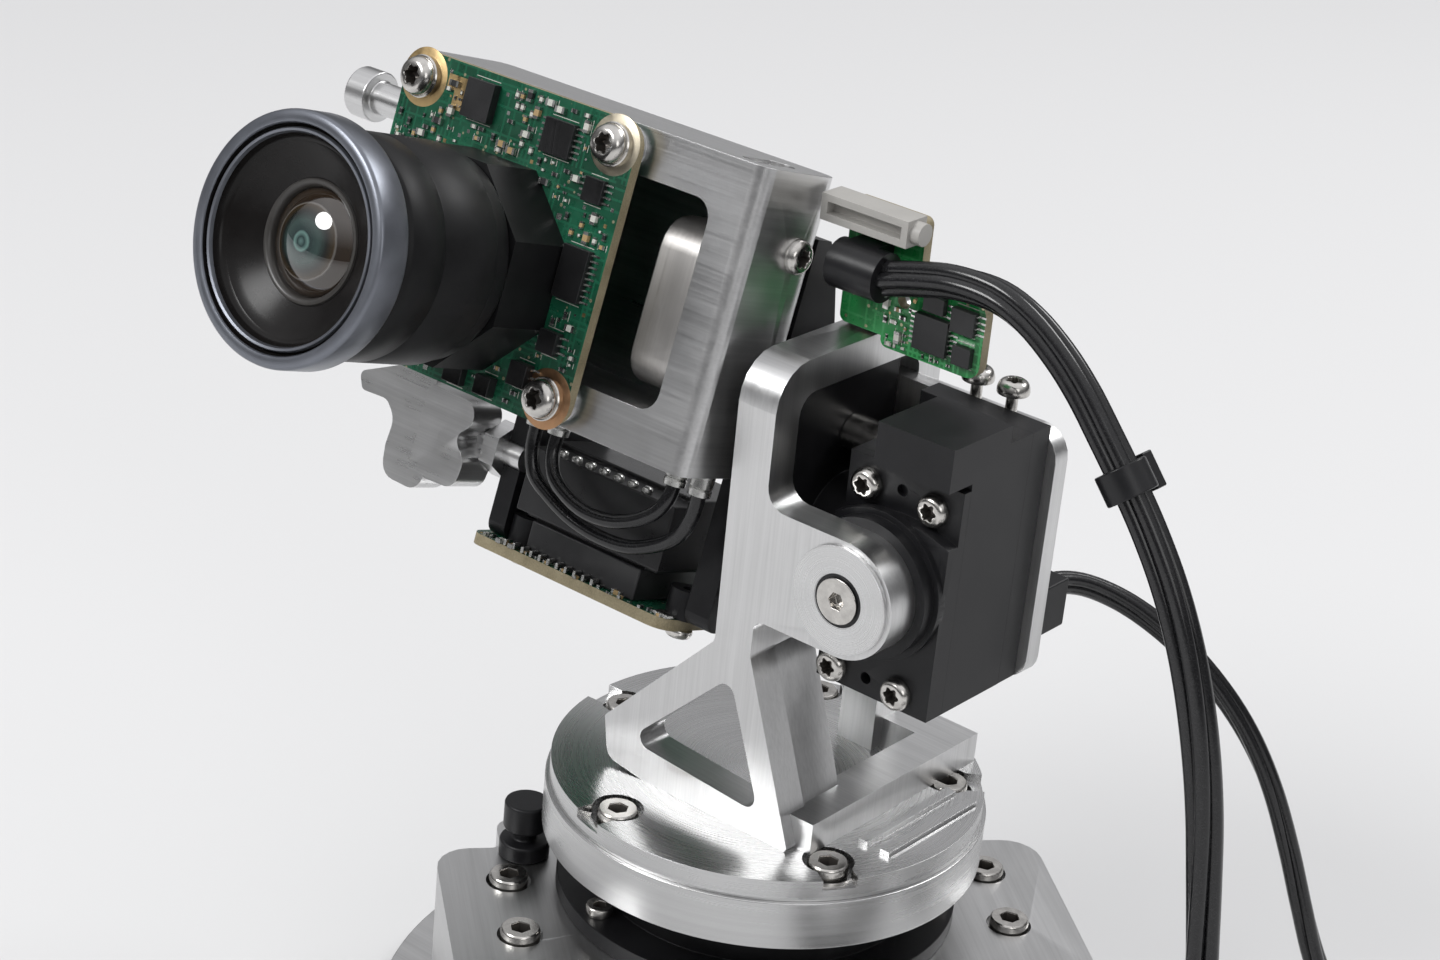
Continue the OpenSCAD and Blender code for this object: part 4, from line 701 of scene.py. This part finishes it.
dressed("yoke", finish["yoke"], 0.22)
dressed("rear_frame", finish["yoke"], 0.3)
eye = {"x": 20, "z": discTop + 38.8, "inner": 3.66, "outer": 7.3, "proud": 0.04, "sunk": -0.1}
front = min(v.co.y for v in frame["nodes"]["front_bush"].data.vertices)
shape = bmesh.new()
latheInto(shape, [(eye["inner"], eye["sunk"]), (eye["inner"] + 0.06, eye["proud"]),
                  (eye["outer"] - 0.12, eye["proud"]), (eye["outer"], eye["sunk"])], stillPlace, 96)
shaped(shape, "eyeFace", finish["eye"], "pan",
       Matrix.Translation((eye["x"] * mm, front, eye["z"] * mm)) @ Matrix.Rotation(math.radians(90), 4, "X"))
yokeSkins = {
    "front_bush": ("plasticFine", 0.1),
    "bearing_plate": ("anodised", 0.5),
    "tilt_bush": ("bronze", 0.1),
    "servo_front_cover": ("plastic", 0.3),
    "servo_case": ("plastic", 0.8),
    "servo_rear_cover": ("plastic", 0.6),
    "servo_socket": ("plastic", 0.3),
    "drive_shaft": ("steel", 0.15),
    "tilt_shaft": ("steel", 0.1),
    "tilt_hub": ("bright", 0.2),
    "board_bracket": ("bright", 0.2),
    "rear_connector": ("grey", 0.3),
    "cable_clamp": ("plasticFine", 0.6),
}
for node, (look, edge) in yokeSkins.items():
    dressed(node, finish[look], edge)
print("yoke dressed")

# ---- small parts of the boards ----

sensorParts = {
    "chips": [(-6, 16.6, 4.8, 5.2, 1.4), (8.2, 15.4, 5, 4.6, 1), (16, 10.6, 3.2, 3.2, 0.9),
              (16.2, -0.4, 4.4, 7, 1.1), (15.6, -9.8, 3, 3, 1.4), (7.2, -18.4, 2.6, 2.6, 1.6),
              (12.4, -15.2, 3, 3.2, 1.6), (1.6, -18.6, 3.2, 2.4, 1.2)],
    "legs": {1: 6, 2: 4, 3: 9, 4: 3, 6: 3},
    "count": 150, "region": (-19.4, -19.4, 19.4, 19.4),
}
rearParts = {
    "chips": [(16.1, 68.7, 5.2, 4.8, 1.05), (20.7, 71.9, 3.6, 3.2, 1.05), (21.1, 67.4, 2.8, 2.6, 1.05),
              (16.1, 72.8, 3.2, 2.2, 1.05)],
    "legs": {0: 7, 1: 4}, "count": 60, "region": (8.6, 65.1, 22.9, 78), "front": 3,
}
lowerParts = {"chips": [], "legs": {}, "count": 26, "region": (-2.4, 17.3, 32, 18.4), "top": -42.2}


def populate(name, parts, put, place, body, blocked):
    # Soldered parts on one face; put(u, v, du, dv, low, high) gives a box's centre and size
    rnd = random.Random(7)
    heaps = {k: bmesh.new() for k in ("chip", "ceramic", "tin", "silk", "gold")}

    def box(kind, u, v, du, dv, low, high):
        boxInto(heaps[kind], *put(u, v, du, dv, low, high))

    taken = []
    for i, (u, v, w, h, t) in enumerate(parts["chips"]):
        taken.append((u, v, w / 2 + 1.0, h / 2 + 0.6))
        box("chip", u, v, w, h, 0.08, t)
        for k in range(parts["legs"].get(i, 0)):
            place_v = v - h / 2 + (k + 0.5) * h / parts["legs"][i]
            for side in (-1, 1):
                box("tin", u + side * (w / 2 + 0.55), place_v, 1.1, 0.26, 0, 0.16)
                box("tin", u + side * (w / 2 + 0.08), place_v, 0.2, 0.24, 0.1, t * 0.6)
        for side in (-1, 1):
            box("silk", u, v + side * (h / 2 + 0.35), w * 0.9, 0.1, 0, 0.02)
    u0, v0, u1, v1 = parts["region"]
    placed = 0
    for attempt in range(parts["count"] * 12):
        u, v = rnd.uniform(u0, u1), rnd.uniform(v0, v1)
        u, v = round(u / 0.45) * 0.45, round(v / 0.45) * 0.45
        size = rnd.choice(((1.0, 0.5), (1.0, 0.5), (1.6, 0.8), (0.6, 0.3)))
        flip = rnd.random() < 0.5
        du, dv = size if flip else size[::-1]
        if blocked(u, v) or any(abs(u - a) < c + du / 2 and abs(v - b) < d + dv / 2 for a, b, c, d in taken):
            continue
        taken.append((u, v, du / 2 + 0.18, dv / 2 + 0.18))
        high = size[1] * 0.75
        kind = rnd.choice(("chip", "ceramic", "silk", "tin", "chip", "silk"))
        if kind == "tin":
            box(rnd.choice(("gold", "tin")), u, v, size[1], size[1], 0, 0.04)
            continue
        end = size[0] * 0.24
        if flip:
            box(kind, u, v, du - 2 * end, dv, 0, high)
            for side in (-1, 1):
                box("tin", u + side * (du / 2 - end / 2), v, end, dv * 1.04, 0, high * 1.03)
        else:
            box(kind, u, v, du, dv - 2 * end, 0, high)
            for side in (-1, 1):
                box("tin", u, v + side * (dv / 2 - end / 2), du * 1.04, end, 0, high * 1.03)
        if rnd.random() < 0.25:
            for side in (-1, 1):
                box("silk", u + side * (du / 2 + 0.2), v, 0.08, dv + 0.4, 0, 0.02)
        placed += 1
        if placed >= parts["count"]:
            break
    for k, heap in heaps.items():
        if len(heap.verts):
            edge = 0.06 if k == "chip" else 0
            shaped(heap, name + k.capitalize(), finish[k], body, place, edge)
        else:
            heap.free()
    print(name, placed, "small parts")


edged(dressed("rear_board", finish["rearBoard"], 0), 1, finish["boardEdge"])


def onRearBoard(u, v, du, dv, low, high):
    return (u, rearParts["front"] - (low + high) / 2, v + discTop), (du, high - low, dv)


def behindRearBoard(u, v):
    # The connector, the bracket and the missing corner stay clear
    return (u > 12.4 and v > 74.4) or v > 78 or (u < 12.6 and v > 71)


populate("rearBoard", rearParts, onRearBoard, stillPlace, "pan", behindRearBoard)

# ---- camera head ----

dressed("camera_housing", finish["housing"], 0.3, headPlace)
dressed("housing_block", finish["grained"], 0.3, headPlace)
dressed("tilt_bracket", finish["anodised"], 0.3, headPlace)
dressed("side_bracket", finish["bright"], 0.5, headPlace)
dressed("pivot_pin", finish["bright"], 0.4, headPlace)
edged(dressed("lower_board", finish["board"], 0, headPlace), 2, finish["boardEdge"])
dressed("driver_modules", finish["module"], 0.4, headPlace)
edged(dressed("sensor_board", finish["board"], 0, headPlace), 1, finish["boardEdge"])
dressed("lens_holder", finish["barrel"], 0.5, headPlace)

lensDrop = 3.2
screwSides = (-17, 17)
leadRadius = 1.0
cameraLeads = {
    "camera_lead_outer": [(7, 12.4, -23.4), (7.1, 12.6, -27), (8.4, 12.9, -30.2), (11.6, 13.2, -32.2),
                          (16, 13.5, -33.9), (21, 13.7, -34.6), (26, 13.7, -34.2), (30.4, 13.6, -32.4),
                          (33.6, 13.2, -30), (35.2, 12.8, -26.8), (35.6, 12.4, -23.4)],
    "camera_lead_inner": [(10.8, 12.4, -23.4), (11, 12.2, -26.4), (12.4, 11.9, -29),
                          (15.2, 11.6, -30.6), (19, 11.4, -31.6), (23, 11.4, -31.5),
                          (26.8, 11.6, -30.3), (29.8, 11.9, -28.2), (31.2, 12.2, -25.8),
                          (31.4, 12.4, -23.4)],
}
for node, route in cameraLeads.items():
    shape = bmesh.new()
    line = smoothLine([Vector(p) for p in route], 0.5)
    sweepTube(shape, carriedFrames(line, Vector((0, 1, 0))), leadRadius, 20)
    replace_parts(shaped(shape, node + "Sheath", finish["cord"], "head", headPlace, 0, 60), node)


def underHolder(u, v):
    # The eight-sided holder and the screws' pads stay clear
    a, b = abs(u), abs(v + lensDrop)
    if a < 14.4 and b < 14.4 and a + b < 20.2:
        return True
    return any(math.hypot(u - x, v - z) < 4.6 for x in screwSides for z in screwSides)


def onSensorBoard(u, v, du, dv, low, high):
    return (u, -(low + high) / 2, v), (du, high - low, dv)


def onLowerBoard(u, v, du, dv, low, high):
    return (u, v, lowerParts["top"] + (low + high) / 2), (du, dv, high - low)


populate("sensorBoard", sensorParts, onSensorBoard, headPlace, "head", underHolder)
populate("lowerBoard", lowerParts, onLowerBoard, headPlace, "head", lambda u, v: False)
dressed("board_chips", finish["chip"], 0.08, headPlace)

pads = {
    "rings": [(1.4, 0.03), (3.95, 0.03), (4.0, 0.0)],
    "corners": [("padGold", "gold", -17, 17), ("padTin", "paleTin", 17, 17), ("padCopper", "copper", 17, -17),
                ("padGoldLow", "gold", -17, -17)],
    "plates": [((-9.6, -0.02, 16.4), (3.4, 0.04, 4.4)), ((-11.8, -0.02, 17.6), (2.0, 0.04, 2.0))],
}
pins = {
    "tips": 7, "pitch": 2.54, "first": (7.4, 19.2, -27.8),
    "rings": [(0.8, 0), (0.84, 0.3), (0.7, 0.7), (0.4, 0.9)],
    "joints": 11, "step": 1.6, "start": (3.4, 17.6, -41.7), "size": (0.5, 1.5, 0.9),
    "tab": ((31.2, 18.6, -41.9), (2.6, 2.2, 0.5)),
}
ferrules = {
    "xs": (7, 35.6, 10.8, 31.4), "y": 12.4, "z": -23.75,
    "rings": [(1.1, 0), (1.52, 0.1), (1.56, 0.9), (1.4, 1.1), (1.56, 1.3), (1.56, 3.3), (1.3, 3.4)],
}


def boardPads():
    # Plated rings round the board's screws, a wide pad by the first chip, the driver's pins and the ferrules
    for name, material, x, z in pads["corners"]:
        shape = bmesh.new()
        turn = Matrix.Translation((x * mm, 0, z * mm)) @ Matrix.Rotation(math.radians(90), 4, "X")
        latheInto(shape, pads["rings"], turn, 48)
        if name == "padGold":
            for centre, size in pads["plates"]:
                boxInto(shape, centre, size)
        shaped(shape, name, finish[material], "head", headPlace)
    shape = bmesh.new()
    x, y, z = pins["first"]
    for i in range(pins["tips"]):
        post = Matrix.Translation(Vector((x + i * pins["pitch"], y, z)) * mm)
        latheInto(shape, pins["rings"], post, 20, capped=True)
    x, y, z = pins["start"]
    for i in range(pins["joints"]):
        boxInto(shape, (x + i * pins["step"], y, z), pins["size"])
    boxInto(shape, *pins["tab"])
    shaped(shape, "driverPins", finish["tin"], "head", headPlace, 0.1)
    shape = bmesh.new()
    for x in ferrules["xs"]:
        foot = Matrix.Translation(Vector((x, ferrules["y"], ferrules["z"])) * mm)
        latheInto(shape, ferrules["rings"], foot, 32)
    shaped(shape, "leadFerrules", finish["tin"], "head", headPlace)


boardPads()

# ---- lens ----

lensPlace = headPlace @ Matrix.Translation((0, 0, -lensDrop * mm)) @ Matrix.Rotation(math.radians(90), 4, "X")
lens = {
    "barrel": [(8.9, 10), (13.4, 10.02), (13.8, 10.3), (13.9, 10.6), (13.9, 12.9), (14.4, 13.2),
               (14.5, 13.5), (14.5, 22.6), (14.35, 22.8), (14.35, 23.1), (14.5, 23.3), (14.5, 28.8),
               (14.3, 29.1), (13.95, 29.4), (13.9, 29.7), (13.9, 31.4)],
    "ring": [(13.9, 31.4), (15.5, 31.4), (15.85, 31.55), (16, 31.9), (16, 35.8), (15.9, 36.15),
             (15.6, 36.38), (14.7, 36.4), (14.4, 36.32), (14.25, 36.1), (14.2, 35.5), (14.0, 35.3),
             (13.8, 35.5), (13.75, 35.9), (13.6, 36.05), (13.3, 35.95), (13.1, 35.5), (12.9, 34.7),
             (12.6, 34.3), (12.2, 34.1)],
    "cone": [(12.2, 34.1), (11.9, 33.85), (11.0, 33.35), (10.0, 32.85), (9.0, 32.35), (7.9, 31.8)],
    "rim": [(7.9, 31.8), (7.78, 32.0), (7.4, 32.0), (7.05, 31.75), (6.9, 31.2), (6.8, 30.6)],
}


def buildLens():
    for node, name, rings, material in (
            ("lens_barrel", "lensBarrel", lens["barrel"], "barrel"),
            ("lens_ring", "lensRing", lens["ring"], "bezel"),
            (None, "lensCone", lens["cone"], "cone"),
            (None, "glassRim", lens["rim"], "rim")):
        shape = bmesh.new()
        latheInto(shape, rings, stillPlace, 128)
        piece = shaped(shape, name, finish[material], "head", lensPlace, 0, 40)
        if name == "lensRing":
            # the groove and the thread inside the bezel are blacker
            piece.data.materials.append(finish["cone"])
            for face in piece.data.polygons:
                reach = math.hypot(face.center.x, face.center.y) / mm
                if 13.85 < reach < 14.3 and face.center.z > 0.035 or reach < 13.0:
                    face.material_index = 1
        if node:
            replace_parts(piece, node)
    shape = bmesh.new()
    radius, rise, seat = 6.82, 2.6, 30.9
    ball = (radius ** 2 + rise ** 2) / (2 * rise)
    dome = [(ball * math.sin(t), seat + rise - ball * (1 - math.cos(t)))
            for t in (math.asin(radius / ball) * (1 - k / 24) for k in range(24))]
    latheInto(shape, dome + [(0.02, seat + rise)], stillPlace, 96, capped=True)
    piece = shaped(shape, "frontGlass", finish["glass"], "head", lensPlace, 0, 60)
    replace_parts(piece, "lens_glass")


buildLens()

# ---- screws ----

for node in ("base_block_screws", "pan_servo_screws"):
    detailedScrews(node, "cap", basePlace)
for node in ("turntable_screws", "horn_screws"):
    detailedScrews(node, "cap")
for node in ("bearing_plate_screws", "servo_screws", "rear_frame_screws"):
    detailedScrews(node, "button")
detailedScrews("bracket_screws", "button", headPlace)
detailedScrews("housing_screws", "button", headPlace)
detailedScrews("board_screws", "button", headPlace, (2.6, 1.0))
print("head dressed")

# ---- floor and light ----

studio = {"floor": 0.68, "world": 0.68, "back": 0.82, "key": 5.6, "fill": 1.2, "rim": 3.6}


def makeFloor():
    mesh = bpy.data.meshes.new("floor")
    shape = bmesh.new()
    bmesh.ops.create_grid(shape, x_segments=2, y_segments=2, size=3.0)
    shape.to_mesh(mesh)
    shape.free()
    floor = bpy.data.objects.new("floor", mesh)
    bpy.context.collection.objects.link(floor)
    floor.location.z = -0.0002
    lab = Lab("paleFloor")
    lab.coat(Base_Color=grey(studio["floor"]), Roughness=0.7, Specular_IOR_Level=0.2)
    mesh.materials.append(lab.material)


def makeLamp(name, place, aim, size, power, colour=(1, 1, 1)):
    data = bpy.data.lights.new(name, "AREA")
    data.shape = "ELLIPSE"
    data.size, data.size_y = size
    data.energy = power
    data.color = colour
    lamp = bpy.data.objects.new(name, data)
    bpy.context.collection.objects.link(lamp)
    lamp.location = place
    lamp.rotation_euler = (Vector(aim) - Vector(place)).to_track_quat("-Z", "Y").to_euler()


def makeWorld():
    world = bpy.data.worlds.new("softWorld")
    world.use_nodes = True
    bpy.context.scene.world = world
    tree = world.node_tree
    light = tree.nodes["Background"]
    # bright overhead, dim at the horizon, so that metal shows its shape; an even pale backdrop to the eye
    place = tree.nodes.new("ShaderNodeTexCoord")
    split = tree.nodes.new("ShaderNodeSeparateXYZ")
    ramp = tree.nodes.new("ShaderNodeValToRGB")
    tree.links.new(place.outputs["Generated"], split.inputs[0])
    tree.links.new(split.outputs["Z"], ramp.inputs[0])
    stops = [(0.0, 0.16), (0.25, 0.2), (0.5, 0.75), (0.8, 1.5)]
    while len(ramp.color_ramp.elements) < len(stops):
        ramp.color_ramp.elements.new(0.5)
    for stop, (at, level) in zip(ramp.color_ramp.elements, stops):
        stop.position = at
        stop.color = (level, level, level * 1.02, 1)
    tree.links.new(ramp.outputs["Color"], light.inputs["Color"])
    light.inputs["Strength"].default_value = studio["world"]
    backdrop = tree.nodes.new("ShaderNodeBackground")
    backdrop.inputs["Color"].default_value = (studio["back"], studio["back"], studio["back"], 1)
    rays = tree.nodes.new("ShaderNodeLightPath")
    mixed = tree.nodes.new("ShaderNodeMixShader")
    tree.links.new(rays.outputs["Is Camera Ray"], mixed.inputs[0])
    tree.links.new(light.outputs[0], mixed.inputs[1])
    tree.links.new(backdrop.outputs[0], mixed.inputs[2])
    tree.links.new(mixed.outputs[0], tree.nodes["World Output"].inputs["Surface"])


makeFloor()
makeWorld()
makeLamp("keyPanel", (-0.35, -0.75, 0.75), (0, 0, 0.08), (0.5, 0.35), studio["key"])
makeLamp("fillPanel", (0.9, -0.5, 0.55), (0, 0, 0.08), (0.6, 0.5), studio["fill"])
makeLamp("rimPanel", (0.25, 0.7, 0.8), (0, 0, 0.08), (0.6, 0.3), studio["rim"])

bpy.context.view_layer.update()
